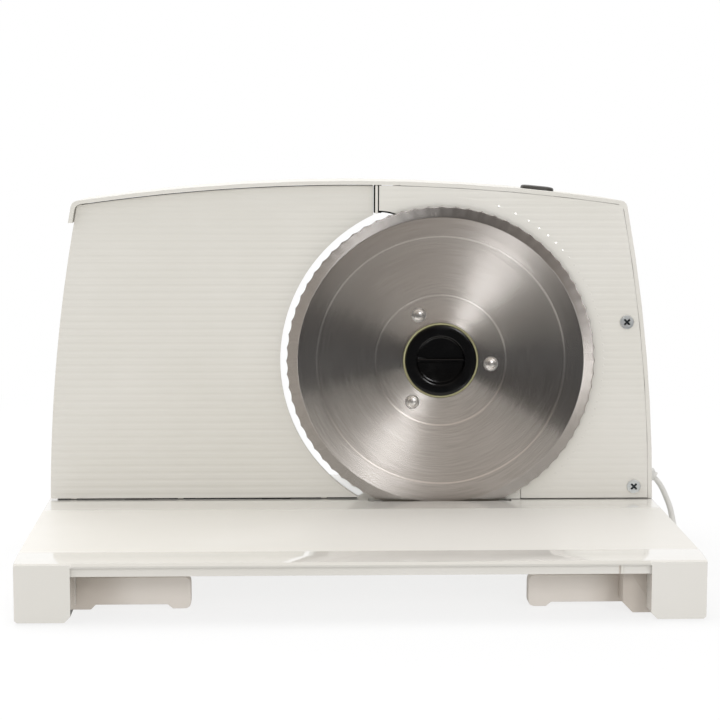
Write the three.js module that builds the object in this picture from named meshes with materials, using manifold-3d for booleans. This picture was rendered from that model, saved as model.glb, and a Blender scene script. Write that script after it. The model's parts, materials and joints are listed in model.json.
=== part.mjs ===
// Compact electric food slicer: a fixed table, a round scalloped blade and a fence plate that slides
// back to set the slice thickness. Millimetres, +Z up from the worktop, +X to the right along the
// table's front edge, +Y away from the user. Inside the slicer's own group y = 0 is the cutting plane.
import * as THREE from 'three';
import { mergeVertices } from 'three/addons/utils/BufferGeometryUtils.js';
import Module from 'manifold-3d';

const wasm = await Module();
wasm.setup();

const { PI, sin, cos, tan, sqrt, atan2, asin, acos, min, max, ceil } = Math;
const rad = THREE.MathUtils.degToRad;

// Overall
const WIDTH = 335; // base and body, side to side
const TABLE_TOP = 30.5; // table surface above the worktop
const TABLE_DEPTH = 150; // front face to the cutting plane
const CASE_DEPTH = 82; // cutting plane to the rear face
const KNOB_PROUD = 12; // thickness knob behind the rear face
const BODY_HEIGHT = 207; // crown of the arched body
const CROWN_RADIUS = 1028; // arch of the roof
const SIDE_RADIUS = 900; // bow of the body's sides
const SIDE_UPRIGHT = 20; // height at which the sides stand upright
const GAP = 0.3; // left between pieces that touch
const RUNNING = 0.35; // round what turns or slides
const SCREW_FIT = 0.25; // round a screw in its hole
const HOLE_SIDES = 8;

// Base moulding
const PLATE = 3;
const LIP_DEPTH = 12; // stretch of the table that falls to the front edge
const LIP_DROP = 0.9;
const SKIRT_INSET = 2.5;
const SKIRT_WALL = 2.5;
const SKIRT_BOTTOM = 22.8;
const FOOT_WIDTH = 27;
const FOOT_DEPTH = 28;
const FOOT_BOTTOM = 0.8; // moulded foot above the worktop
const FOOT_CHAMFER = 3;
const FOOT_EDGE = 1.2;
const PAD_RADIUS = 9;
const PAD_HEIGHT = 3.6;
const BAR_LENGTH = 57; // foot bar from the foot towards the middle
const BAR_THICKNESS = 8;
const BAR_TOP = 16.5;
const BAR_BOTTOM = 3.5;
const BAR_ROUND = 3;
const BAR_ROOT = 24; // deep end of the bar behind the foot
const BAR_ROOT_PAST = 3; // how far that end looks out past the foot
const BAR_PAD = 12;
const BAR_PAD_BOTTOM = 0.2;
const PEG_RADIUS = 2.5;
const PEG_LENGTH = 6;
const SLOT_MARGIN = 6; // table slot past the blade's chord at each end
const SLOT_FRONT = 2; // slot in front of the cutting plane
const SLOT_BACK = 7;
const TROUGH_WALL = 2;
const TROUGH_UNDER = 4; // room under the blade

// Blade and its lock
const BLADE_RADIUS = 85;
const BLADE_Z = 108.5;
const SCALLOPS = 72;
const SCALLOP_DEPTH = 0.7;
const BEVEL_WIDTH = 6.2;
const BEVEL_BACK = 0.9; // the cutting edge lies this far behind the front of the rim
const EDGE_THICKNESS = 0.3;
const BLADE_THICKNESS = 1.4;
const RIM_STEP_RADIUS = 68.3;
const HUB_STEP_RADIUS = 36;
const STEP_WIDTH = 1;
const RIM_STEP = 0.5;
const CONE_FALL = 1.2; // between the two steps
const HUB_STEP = 0.7;
const HUB_BORE = 20.9;
const RIVET_CIRCLE = 27.8;
const RIVET_RADIUS = 3.5;
const RIVET_SHANK = 2;
const RIVET_HEAD = 0.8;
const RIVET_ANGLES = [116, 236, 356];
const LOCK_RADIUS = 19.5;
const LOCK_PROUD = 1.8;
const LOCK_DEPTH = 7;
const LOCK_DISH = 13.2;
const LOCK_DISH_DEPTH = 4;
const LOCK_BAR = 2.4;
const LOCK_STEM = 5.5;
const LOCK_STEM_LENGTH = 8;

// Gear train
const MODULE = 1.5;
const BLADE_TEETH = 44;
const PINION_TEETH = 14;
const WORM_GEAR_TEETH = 30;
const PINION_ANGLE = -30; // direction of the pinion as seen from the blade axis
const PRESSURE = rad(20);
const ADDENDUM = 0.8;
const DEDENDUM = 1.25;
const BACKLASH = 0.45;
const GEAR_WIDTH = 7;
const AXLE_RADIUS = 7;
const AXLE_WALL = 1.1;
const AXLE_FLANGE = 13;
const AXLE_FLANGE_WIDTH = 2.2;
const GEAR_PLATE_THICKNESS = 3;
const GEAR_PLATE_BOSS = 8.5;
const GEAR_PLATE_BOSS_LENGTH = 14;
const SHAFT_RADIUS = 4;
const WORM_RADIUS = 6; // pitch radius
const WORM_LENGTH = 20;
const WORM_GEAR_WIDTH = 8;
const WORM_GEAR_HUB = 8;
const WORM_GEAR_HUB_LENGTH = 4;

// Motor, along X from the worm's middle
const MOTOR_Y = 44;
const MOTOR_SHAFT = 3;
const SHAFT_BEFORE = 14;
const BRACKET_FROM = 14;
const BRACKET_THICKNESS = 3;
const BRACKET_BELOW = 21; // bracket plate below and above the shaft
const BRACKET_ABOVE = 8;
const BRACKET_TAB = 14; // height of the tab to the rear wall
const BRACKET_PEG = 2;
const BRACKET_PEG_ANGLE = 44; // below level, from the shaft
const STATOR_FROM = 25;
const STATOR_LENGTH = 24;
const STATOR_RADIUS = 22;
const STATOR_FLAT = 18.5;
const ARMATURE_RADIUS = 11.5;
const ARMATURE_SLOTS = 10;
const SLOT_DEPTH = 4.5;
const AIR_GAP = 0.7;
const COMMUTATOR_FROM = 51.5;
const COMMUTATOR_LENGTH = 7;
const COMMUTATOR_RADIUS = 8;
const BRUSH_SIZE = 6;
const BRUSH_LENGTH = 11;
const REAR_BRACKET_FROM = 60.5;
const FAN_FROM = 65;
const FAN_LENGTH = 4;
const FAN_RADIUS = 14;
const FAN_HUB = 5;
const FAN_BLADES = 8;
const FAN_BLADE = 1.4;
const SHAFT_AFTER = 71;
const MOTOR_ROOM = 10.128; // end of the motor shaft in from the right side

// Blade axis along X: the motor's run fills the right side, and the gears reach back to the blade
const DRIVE_ACROSS = (MODULE * (BLADE_TEETH + PINION_TEETH) * cos(rad(PINION_ANGLE))) / 2;
const BLADE_X = WIDTH / 2 - MOTOR_ROOM - SHAFT_AFTER - DRIVE_ACROSS;

// Case and front panel
const CASE_FRONT = 3; // rim of the case behind the cutting plane
const CASE_WALL = 2.2;
const CASE_PAST = 22.7; // left wall of the case above the drum, left of the blade axis
const CASE_LEFT = BLADE_X - CASE_PAST;
const DRAFT = 1.2; // the body narrows by this much towards the rear
const REAR_ROUND = 12;
const ROOF = 2;
const ROOF_SHORT = 12; // the roof over the fence stops this far before the rear face
const LIP_THICKNESS = 2.2;
const LIP_HEIGHT = 12;
const CORNER_ROUND = 3;
const PANEL_THICKNESS = 2.6;
const PANEL_PAST = 32.4; // left end of the panel's tab, left of the blade axis
const PANEL_LEFT = BLADE_X - PANEL_PAST;
const PANEL_TAB = 14.8; // height of the panel's narrow upper left tab below the roof's crown line
const PANEL_FOOT_PAST = 45.3; // left end of the panel's lower edge, right of the blade axis
const PANEL_FOOT = BLADE_X + PANEL_FOOT_PAST;
const PANEL_SMOOTH = 90; // no ribs nearer than this to the blade axis
const PANEL_SCREW_UPPER = [16, 129.5]; // in from the right side, and height
const PANEL_SCREW_LOWER = [10.5, 37.5];
const DRUM_SIDES = 64;
const RIB_PITCH = 4;
const RIB_HEIGHT = 0.4;
const RIB_CREST = 2.4;
const RIB_SLOPE = 0.4;
const BOSS_RADIUS = 4;
const PLATE_POST_ANGLES = [100, 20, 200];
const PLATE_POST_CIRCLE = 62;
const SIDE_SCREW_INSET = 12; // case screws from the right side
const SIDE_SCREW_Y = [24, 46];
const REAR_SCREW_SIDE = 58.5; // from the right side
const REAR_SCREW_INSET = 12; // from the rear face
const CASE_BOSS_HEIGHT = 12;

// Screws
const SCREW_RADIUS = 1.6;
const SCREW_HEAD = 3.8;
const SCREW_HEAD_HEIGHT = 2.2;
const SCREW_CROSS = 0.9;
const SCREW_LENGTH = 12;

// Fence plate and its slide
const FENCE_THICKNESS = 3;
const FENCE_SETTING = 6; // slice thickness in the rest pose
const FENCE_REACH = 15; // greatest slice thickness
const FENCE_ZERO = 0.5; // face behind the cutting plane at setting 0
const FENCE_TOP_GAP = 2.2;
const FENCE_SIDE_GAP = 0.8;
const FENCE_LIFT = 1.2;
const FENCE_PAST = 35; // upright right edge, left of the blade axis
const FENCE_RIGHT = BLADE_X - FENCE_PAST;
const FENCE_BLADE_GAP = 2.4;
const FENCE_ARC_SHIFT = -1.5;
const NUB_SIDE = [13.5, 72.5]; // from the left side
const NUB_PAST = 64.2; // last one, left of the blade axis
const NUB_X = [...NUB_SIDE.map((inset) => inset - WIDTH / 2), BLADE_X - NUB_PAST];
const NUB_SIZE = 2.4;
const NUB_HEIGHT = 0.8;
const FENCE_STIFFENER = 2;
const FENCE_BOSS = 4;
const FENCE_BOSS_RADIUS = 5;
const LEG_SIDE = 49.5; // left leg from the left side
const LEG_PAST = 90.7; // right leg, left of the blade axis
const LEG_X = [LEG_SIDE - WIDTH / 2, BLADE_X - LEG_PAST];
const LEG_WIDTH = 14;
const LEG_THICKNESS = 5;
const LEG_TOP = 60;
const LEG_SCREW_Z = 48;
const SLIDE_BOTTOM = 15;
const SLIDE_THICKNESS = 6;
const SLIDE_DEPTH = 26;
const SLIDE_SIDE = 40.5;
const SLIDE_PAST = 56.7;
const SLIDE_LEFT = SLIDE_SIDE - WIDTH / 2;
const SLIDE_RIGHT = BLADE_X - SLIDE_PAST;
const ROD_SIDE = 69.5;
const ROD_PAST = 70.7;
const ROD_X = [ROD_SIDE - WIDTH / 2, BLADE_X - ROD_PAST];
const ROD_RADIUS = 2.5;
const ROD_Z = 18;
const ROD_FROM = 1.5;
const ROD_TO = 66;
const SLEEVE = 12;
const BRACKET_DEPTH = 5;
const ARM_FROM = 26; // arm behind the cutting plane at rest
const ARM_DEPTH = 12;
const RISER_PAST = 12.7; // left of the blade axis
const RISER_LEFT = BLADE_X - RISER_PAST;
const RISER_WIDTH = 9;
const RISER_FROM = 54;
const RISER_DEPTH = 10;
const SLOT_ROOM = 1; // round what passes through the deck
const PIN_RADIUS = 2;
const PIN_LENGTH = 11;

// Thickness knob and spindle
const SPINDLE_Z = 58;
const SPINDLE_RADIUS = 10;
const SPINDLE_LEAD = 18; // travel of the fence for one turn
const GROOVE_DEPTH = 4;
const SPINDLE_SIDE_GAP = 1; // between the spindle and the riser
const SPINDLE_PAST = 3.5; // spindle past each end of the groove's travel
const GROOVE_PAST = 18; // degrees of groove past each end
const NECK_RADIUS = 4;
const NECK_BOSS = 7.5;
const NECK_BOSS_WALL = 3;
const KNOB_RADIUS = 19;
const KNOB_FLUTES = 24;
const KNOB_FLUTE = 0.8;
const KNOB_STUB = 6; // end of the spindle inside the knob
const KNOB_SCREW_RECESS = 3;

// Switch
const SWITCH_SIDE = 63.5; // from the right side
const SWITCH_X = WIDTH / 2 - SWITCH_SIDE;
const SWITCH_Y = 30;
const BUTTON_LENGTH = 18.5;
const BUTTON_WIDTH = 11;
const BUTTON_PROUD = 3.2;
const BUTTON_TRAVEL = 2.5;
const BUTTON_SKIRT = 8; // from the roof's outer face to the button's lower end
const BUTTON_FLANGE = 1.2;
const BUTTON_CLEAR = 0.4;
const SPRING_ROOM = 2 * BUTTON_TRAVEL; // the spring is half closed at full press
const SPRING_RADIUS = 3.4;
const SPRING_WIRE = 0.5;
const SPRING_TURNS = 3;
const SWITCH_LENGTH = 24;
const SWITCH_WIDTH = 14;
const SWITCH_HEIGHT = 16;
const SWITCH_RIB = 2;

// Terminal block and bottom cover
const TERMINAL_SIDE = 51.5; // from the right side
const TERMINAL_X = WIDTH / 2 - TERMINAL_SIDE;
const TERMINAL_Z = 96;
const TERMINAL_SIZE = [22, 9, 12];
const COVER_THICKNESS = 2;
const COVER_TOP = 11;
const COVER_SIDE = 29.5; // left end from the left side
const COVER_PAST = 1.3; // right end, right of the blade axis
const COVER_LEFT = COVER_SIDE - WIDTH / 2;
const COVER_RIGHT = BLADE_X + COVER_PAST;
const COVER_FRONT = -2;
const COVER_BACK = 76;
const COVER_POST = 4;
const COVER_SCREW_INSET = [6, 20]; // from the cover's left and right ends
const COVER_SCREW_Y = [38, 14];
const COVER_SCREWS = [
  [COVER_LEFT + COVER_SCREW_INSET[0], COVER_SCREW_Y[0]],
  [COVER_RIGHT - COVER_SCREW_INSET[1], COVER_SCREW_Y[1]],
];

// Flex, its gland, coil, tie and plug
const CORD_WIDTH = 5;
const CORD_THICKNESS = 3;
const GLAND_Y = 64; // behind the cutting plane, on the right side wall
const GLAND_Z = 40.2;
const GLAND_TILT = 42; // degrees that the sleeve points below level
const GLAND_ELBOW = 3.2; // bend of the sleeve outside the wall
const GLAND_ROOT = 5.5;
const GLAND_TIP = 3.6;
const GLAND_LENGTH = 13.2;
const GLAND_FLANGE = 6.8;
const GLAND_FLANGE_WIDTH = 2;
const GLAND_SEAT = 1.3; // between the flange and the wall
const GLAND_RINGS = 3;
const GLAND_RING = 0.6;
const CORD_FALL = [
  [15.9, 62.5, 26.3], [18.5, 59.5, 20.3], [20.1, 55, 14.7], [20.6, 49, 8.6], [20.1, 42, 5],
  [18, 34, 3.8], [13, 26.5, 3.6], [5, 20.8, 3.6], [-4.5, 18.3, 3.6],
]; // middle of the flex: out from the base's right side, behind the cutting plane, above the worktop
const CORD_ARRIVAL = [[25, 25], [15.5, 23.1], [7.4, 17.7], [2, 9.6]]; // from the coil's first end
const COIL_SIDE = 78.5; // coil's middle from the right side
const COIL_X = WIDTH / 2 - COIL_SIDE;
const COIL_Y = -12;
const COIL_RADIUS = 27.5; // at the middle of the turns
const COIL_LOOPS = 5;
const COIL_STEPS = 24; // steps in one loop
const TURN_PITCH = 4.6;
const LAYER_PITCH = 5.9;
const COIL_TAIL = 34;
const TIE_THICKNESS = 0.8;
const TIE_WIDTH = 6;
const TIE_SLACK = 0.6;
const TIE_ANGLE = 45;
const PLUG_LENGTH = 33;
const PLUG_WIDTH = 26;
const PLUG_NECK = 11;
const PLUG_HEIGHT = 13.6;
const PIN_SPACING = 18.6;
const PLUG_PIN = 2;
const PLUG_PIN_LENGTH = 19;

// Finishes
const finish = (color, roughness, metalness = 0) =>
  new THREE.MeshStandardMaterial({ color, roughness, metalness });
const WHITE = finish(0xdedbd4, 0.4);
const GLOSS_WHITE = finish(0xe2dfd8, 0.15);
const GREY = finish(0x4a4947, 0.5);
const BLACK = finish(0x121212, 0.35);
const RUBBER = finish(0x2a2a2a, 0.9);
const STEEL = finish(0xb4aca4, 0.3, 1);
const ZINC = finish(0xa9afb8, 0.35, 1);
const NYLON = finish(0xd8cf9c, 0.5);
const COPPER = finish(0xb06a3c, 0.4, 1);
const IRON = finish(0x5c5a58, 0.6, 1);
const FLEX = finish(0xd6d5d1, 0.45);

// Joining and cutting closed geometry
function positionsOnly(geometry) {
  const bare = new THREE.BufferGeometry();
  bare.setAttribute('position', geometry.getAttribute('position').clone());
  if (geometry.index) bare.setIndex(geometry.index.clone());
  return mergeVertices(bare, 1e-4);
}

function solid(geometry) {
  const merged = positionsOnly(geometry);
  const points = merged.getAttribute('position');
  const index = merged.index.array;
  const triangles = [];
  const [a, b, c] = [new THREE.Vector3(), new THREE.Vector3(), new THREE.Vector3()];
  let volume = 0;
  for (let i = 0; i < index.length; i += 3) {
    const [p, q, r] = [index[i], index[i + 1], index[i + 2]];
    if (p === q || q === r || r === p) continue;
    triangles.push(p, q, r);
    a.fromBufferAttribute(points, p);
    b.fromBufferAttribute(points, q);
    c.fromBufferAttribute(points, r);
    volume += a.dot(b.cross(c));
  }
  if (volume < 0) triangles.reverse();
  const mesh = new wasm.Mesh({
    numProp: 3,
    vertProperties: new Float32Array(points.array),
    triVerts: new Uint32Array(triangles),
  });
  return new wasm.Manifold(mesh);
}

function geometryOf(manifold) {
  const mesh = manifold.getMesh();
  const geometry = new THREE.BufferGeometry();
  geometry.setAttribute('position', new THREE.BufferAttribute(mesh.vertProperties, 3));
  geometry.setIndex(new THREE.BufferAttribute(mesh.triVerts, 1));
  return geometry;
}

function join(first, ...others) {
  return geometryOf(others.reduce((whole, next) => whole.add(solid(next)), solid(first)));
}

function cut(first, ...others) {
  return geometryOf(others.reduce((whole, next) => whole.subtract(solid(next)), solid(first)));
}

function common(first, ...others) {
  return geometryOf(others.reduce((whole, next) => whole.intersect(solid(next)), solid(first)));
}

// Simple solids
function box(x0, x1, y0, y1, z0, z1) {
  const geometry = new THREE.BoxGeometry(x1 - x0, y1 - y0, z1 - z0);
  return geometry.translate((x0 + x1) / 2, (y0 + y1) / 2, (z0 + z1) / 2);
}

// An outline of [across, up] points carried along Y, X or Z
const outlineOf = (points) => new THREE.Shape(points.map(([u, v]) => new THREE.Vector2(u, v)));
const axis = (x, y, z) => new THREE.Vector3(x, y, z);

function extruded(points, depth) {
  return new THREE.ExtrudeGeometry(outlineOf(points), { depth, bevelEnabled: false, steps: 1 });
}

function prismY(points, y0, y1) {
  const turn = new THREE.Matrix4().makeBasis(axis(1, 0, 0), axis(0, 0, 1), axis(0, -1, 0));
  return extruded(points, y1 - y0).applyMatrix4(turn).translate(0, y1, 0);
}

function prismX(points, x0, x1) {
  const turn = new THREE.Matrix4().makeBasis(axis(0, 1, 0), axis(0, 0, 1), axis(1, 0, 0));
  return extruded(points, x1 - x0).applyMatrix4(turn).translate(x0, 0, 0);
}

function prismZ(points, z0, z1) {
  return extruded(points, z1 - z0).translate(0, 0, z0);
}

// Round bars along each axis, from one end to the other
function rodY(radius, y0, y1, x, z, sides = 24) {
  return new THREE.CylinderGeometry(radius, radius, y1 - y0, sides).translate(x, (y0 + y1) / 2, z);
}

function rodX(radius, x0, x1, y, z, sides = 24) {
  const geometry = new THREE.CylinderGeometry(radius, radius, x1 - x0, sides).rotateZ(PI / 2);
  return geometry.translate((x0 + x1) / 2, y, z);
}

function rodZ(radius, z0, z1, x, y, sides = 24) {
  const geometry = new THREE.CylinderGeometry(radius, radius, z1 - z0, sides).rotateX(PI / 2);
  return geometry.translate(x, y, (z0 + z1) / 2);
}

// A profile of [radius, y] points turned about a line along Y
function turnedY(profile, x, z, sides = 32) {
  const points = profile.map(([r, y]) => new THREE.Vector2(r, y));
  return new THREE.LatheGeometry(points, sides).translate(x, 0, z);
}

// Rings with equal counts of points joined by walls, and closed at both ends by flat faces
function loft(rings) {
  const count = rings[0].length;
  const points = rings.flat().flatMap((p) => [p.x, p.y, p.z]);
  const index = [];
  for (let i = 0; i + 1 < rings.length; i += 1) {
    for (let j = 0; j < count; j += 1) {
      const k = (j + 1) % count;
      const [a, b, c, d] = [i * count + j, i * count + k, (i + 1) * count + k, (i + 1) * count + j];
      index.push(a, b, c, a, c, d);
    }
  }
  const last = (rings.length - 1) * count;
  for (const [ring, start, flip] of [[rings[0], 0, true], [rings.at(-1), last, false]]) {
    for (const [p, q, r] of THREE.ShapeUtils.triangulateShape(flattened(ring), [])) {
      index.push(start + p, start + (flip ? r : q), start + (flip ? q : r));
    }
  }
  const geometry = new THREE.BufferGeometry();
  geometry.setAttribute('position', new THREE.Float32BufferAttribute(points, 3));
  return geometry.setIndex(index);
}

// A flat ring of points in space, laid out in its own plane
function flattened(ring) {
  const normal = axis(0, 0, 0);
  ring.forEach((p, i) => normal.add(p.clone().cross(ring[(i + 1) % ring.length])));
  normal.normalize();
  const across = ring[1].clone().sub(ring[0]).normalize();
  const up = normal.clone().cross(across);
  return ring.map((p) => new THREE.Vector2(p.dot(across), p.dot(up)));
}

// A section of [sideways, upwards] points carried along stations that each give a place and two directions
function swept(stations, section) {
  return loft(stations.map(({ at, side, up }) =>
    section.map(([s, u]) => at.clone().addScaledVector(side, s).addScaledVector(up, u))));
}

const arcPoints = (x, z, radius, from, to, steps) =>
  Array.from({ length: steps + 1 }, (_, i) => {
    const angle = rad(from + ((to - from) * i) / steps);
    return [x + radius * cos(angle), z + radius * sin(angle)];
  });

// Rectangle with rounded corners, or a slot with round ends when the radius is half its height
function roundedBox(x0, x1, z0, z1, radius, steps = 3) {
  return [
    ...arcPoints(x1 - radius, z0 + radius, radius, -90, 0, steps),
    ...arcPoints(x1 - radius, z1 - radius, radius, 0, 90, steps),
    ...arcPoints(x0 + radius, z1 - radius, radius, 90, 180, steps),
    ...arcPoints(x0 + radius, z0 + radius, radius, 180, 270, steps),
  ];
}

// Places worked out from the driving sizes
const front = -TABLE_DEPTH;
const rear = CASE_DEPTH;
const half = WIDTH / 2;
const plateUnder = TABLE_TOP - PLATE;
const bodyBottom = TABLE_TOP + GAP;
const rearInside = rear - CASE_WALL;
const drumRadius = BLADE_Z - bodyBottom;
const drumInside = drumRadius - CASE_WALL;
const hubFront = RIM_STEP + CONE_FALL + HUB_STEP;
const hubBack = hubFront + BLADE_THICKNESS;
const gearFront = hubBack + GAP;
const gearBack = gearFront + GEAR_WIDTH;
const flangeFront = gearBack + GAP;
const plateFront = flangeFront + AXLE_FLANGE_WIDTH + GAP;
const plateBack = plateFront + GEAR_PLATE_THICKNESS;
const gearDistance = (MODULE * (BLADE_TEETH + PINION_TEETH)) / 2;
const pinionX = BLADE_X + gearDistance * cos(rad(PINION_ANGLE));
const pinionZ = BLADE_Z + gearDistance * sin(rad(PINION_ANGLE));
const wormGearRadius = (MODULE * WORM_GEAR_TEETH) / 2;
const motorZ = pinionZ - wormGearRadius - WORM_RADIUS;
const wormPitch = PI * MODULE;
const fenceFace = FENCE_ZERO + FENCE_SETTING;
const fenceBack = fenceFace + FENCE_THICKNESS;
const legFront = fenceBack + FENCE_BOSS + GAP;
const legBack = legFront + LEG_THICKNESS;
const travelFront = FENCE_SETTING;
const travelBack = FENCE_REACH - FENCE_SETTING;
const spindleX = RISER_LEFT - SPINDLE_SIDE_GAP - SPINDLE_RADIUS;
const pinY = RISER_FROM + RISER_DEPTH / 2;

// Arched outline of the body seen from the front. The roof and the sides are drawn in by their own insets.
function sideAt(z, inset) {
  return half - SIDE_RADIUS + sqrt((SIDE_RADIUS - inset) ** 2 - (z - SIDE_UPRIGHT) ** 2);
}

function crownAt(x, inset) {
  return BODY_HEIGHT - CROWN_RADIUS + sqrt((CROWN_RADIUS - inset) ** 2 - x ** 2);
}

function cornerOf(roofInset, sideInset) {
  let z = BODY_HEIGHT;
  for (let i = 0; i < 8; i += 1) z = crownAt(sideAt(z, sideInset), roofInset);
  return [sideAt(z, sideInset), z];
}

function bodyOutline(roofInset, sideInset, bottom, sideSteps = 6, crownSteps = 10) {
  const [cornerX, cornerZ] = cornerOf(roofInset, sideInset);
  const right = [];
  for (let i = 0; i <= sideSteps; i += 1) {
    const z = bottom + ((cornerZ - CORNER_ROUND - bottom) * i) / sideSteps;
    right.push([sideAt(z, sideInset), z]);
  }
  const crownX = cornerX - CORNER_ROUND;
  const [startX, startZ] = right.at(-1);
  const endZ = crownAt(crownX, roofInset);
  for (const t of [0.35, 0.65]) {
    const u = 1 - t;
    const x = u * u * startX + 2 * u * t * cornerX + t * t * crownX;
    right.push([x, u * u * startZ + 2 * u * t * cornerZ + t * t * endZ]);
  }
  const crown = [];
  for (let i = 0; i <= crownSteps; i += 1) {
    const x = crownX - (2 * crownX * i) / crownSteps;
    crown.push([x, crownAt(x, roofInset)]);
  }
  const left = right.map(([x, z]) => [-x, z]).reverse();
  return [...right, ...crown, ...left];
}

// How far the body has narrowed at a given depth: a steady draft, then a round rear edge
function narrowing(y) {
  const straight = rear - REAR_ROUND;
  const draft = (DRAFT * (min(y, straight) - CASE_FRONT)) / (straight - CASE_FRONT);
  const past = max(0, min(y, rear) - straight);
  return draft + REAR_ROUND - sqrt(REAR_ROUND ** 2 - past ** 2);
}

function bodyLoft(roofInset, sideInset, y0, y1, bottom, shift = 0) {
  const straight = rear - REAR_ROUND;
  const depths = [y0];
  if (y1 + shift > straight) {
    for (const angle of [0, 30, 60]) depths.push(straight + REAR_ROUND * sin(rad(angle)) - shift);
  }
  depths.push(y1);
  return loft(depths.map((y) => {
    const drawn = narrowing(y + shift);
    const outline = bodyOutline(roofInset + drawn, sideInset + drawn, bottom);
    return outline.map(([x, z]) => axis(x, y, z));
  }));
}

// Moulded sheet with level ribs across its front, crests at the given depth
function ribbedSheet(y0, y1, z0, z1) {
  const wave = [];
  for (let z = z0; z < z1; z += RIB_PITCH) {
    wave.push([y0, z], [y0, z + RIB_CREST], [y0 + RIB_HEIGHT, z + RIB_CREST + RIB_SLOPE]);
    wave.push([y0 + RIB_HEIGHT, z + RIB_PITCH - RIB_SLOPE]);
  }
  const top = z0 + ceil((z1 - z0) / RIB_PITCH) * RIB_PITCH;
  wave.push([y0, top], [y1, top], [y1, z0]);
  return prismX(wave, -WIDTH, WIDTH);
}

// Scene graph
const slicer = new THREE.Group();
const cuttingPlane = new THREE.Group();
cuttingPlane.position.y = TABLE_DEPTH - (TABLE_DEPTH + CASE_DEPTH + KNOB_PROUD) / 2;
slicer.add(cuttingPlane);

function part(name, geometry, material, parent = cuttingPlane) {
  const mesh = new THREE.Mesh(geometryOf(solid(geometry)), material);
  mesh.name = name;
  parent.add(mesh);
  return mesh;
}

// Cross-recess screw along +Y: the head's face is at y = 0
function screwGeometry(length = SCREW_LENGTH) {
  const head = rodY(SCREW_HEAD, 0, SCREW_HEAD_HEIGHT, 0, 0, 10);
  const shank = rodY(SCREW_RADIUS, SCREW_HEAD_HEIGHT / 2, SCREW_HEAD_HEIGHT + length, 0, 0, 6);
  const arm = SCREW_HEAD * 0.6;
  const deep = SCREW_HEAD_HEIGHT / 2;
  const cross = join(
    box(-arm, arm, -1, deep, -SCREW_CROSS / 2, SCREW_CROSS / 2),
    box(-SCREW_CROSS / 2, SCREW_CROSS / 2, -1, deep, -arm, arm),
  );
  return cut(join(head, shank), cross.rotateY(PI / 4));
}

// Room that a screw needs in what it passes through or bites into
function screwRoom(x, y, z, length = SCREW_LENGTH) {
  return rodY(SCREW_RADIUS + SCREW_FIT, y - 1, y + SCREW_HEAD_HEIGHT + length + 1, x, z, HOLE_SIDES);
}

// Base moulding
const chordHalf = sqrt(max(0, BLADE_RADIUS ** 2 - (BLADE_Z - TABLE_TOP) ** 2));
const slotLeft = BLADE_X - chordHalf - SLOT_MARGIN;
const slotRight = BLADE_X + chordHalf + SLOT_MARGIN;
const troughBottom = BLADE_Z - BLADE_RADIUS - TROUGH_UNDER;
const caseScrewAt = [
  ...SIDE_SCREW_Y.map((y) => [half - SIDE_SCREW_INSET, y]), [half - REAR_SCREW_SIDE, rear - REAR_SCREW_INSET],
];

function footBlock(side, y0) {
  const outer = half;
  const inner = half - FOOT_WIDTH;
  const outline = [
    [side * inner, TABLE_TOP - PLATE / 2], [side * inner, FOOT_BOTTOM + FOOT_CHAMFER],
    [side * (inner + FOOT_CHAMFER), FOOT_BOTTOM], [side * (outer - FOOT_EDGE), FOOT_BOTTOM],
    [side * outer, FOOT_BOTTOM + FOOT_EDGE], [side * outer, TABLE_TOP - PLATE / 2],
  ];
  return prismY(outline, y0, y0 + FOOT_DEPTH);
}

const footSpots = [
  { name: 'front_left', side: -1, y: front },
  { name: 'front_right', side: 1, y: front },
  { name: 'rear_left', side: -1, y: rear - FOOT_DEPTH },
  { name: 'rear_right', side: 1, y: rear - FOOT_DEPTH },
];
const padX = half - FOOT_WIDTH / 2;
const barZ = (BAR_TOP + BAR_BOTTOM) / 2;
const pegX = half - FOOT_WIDTH / 2;

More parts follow.
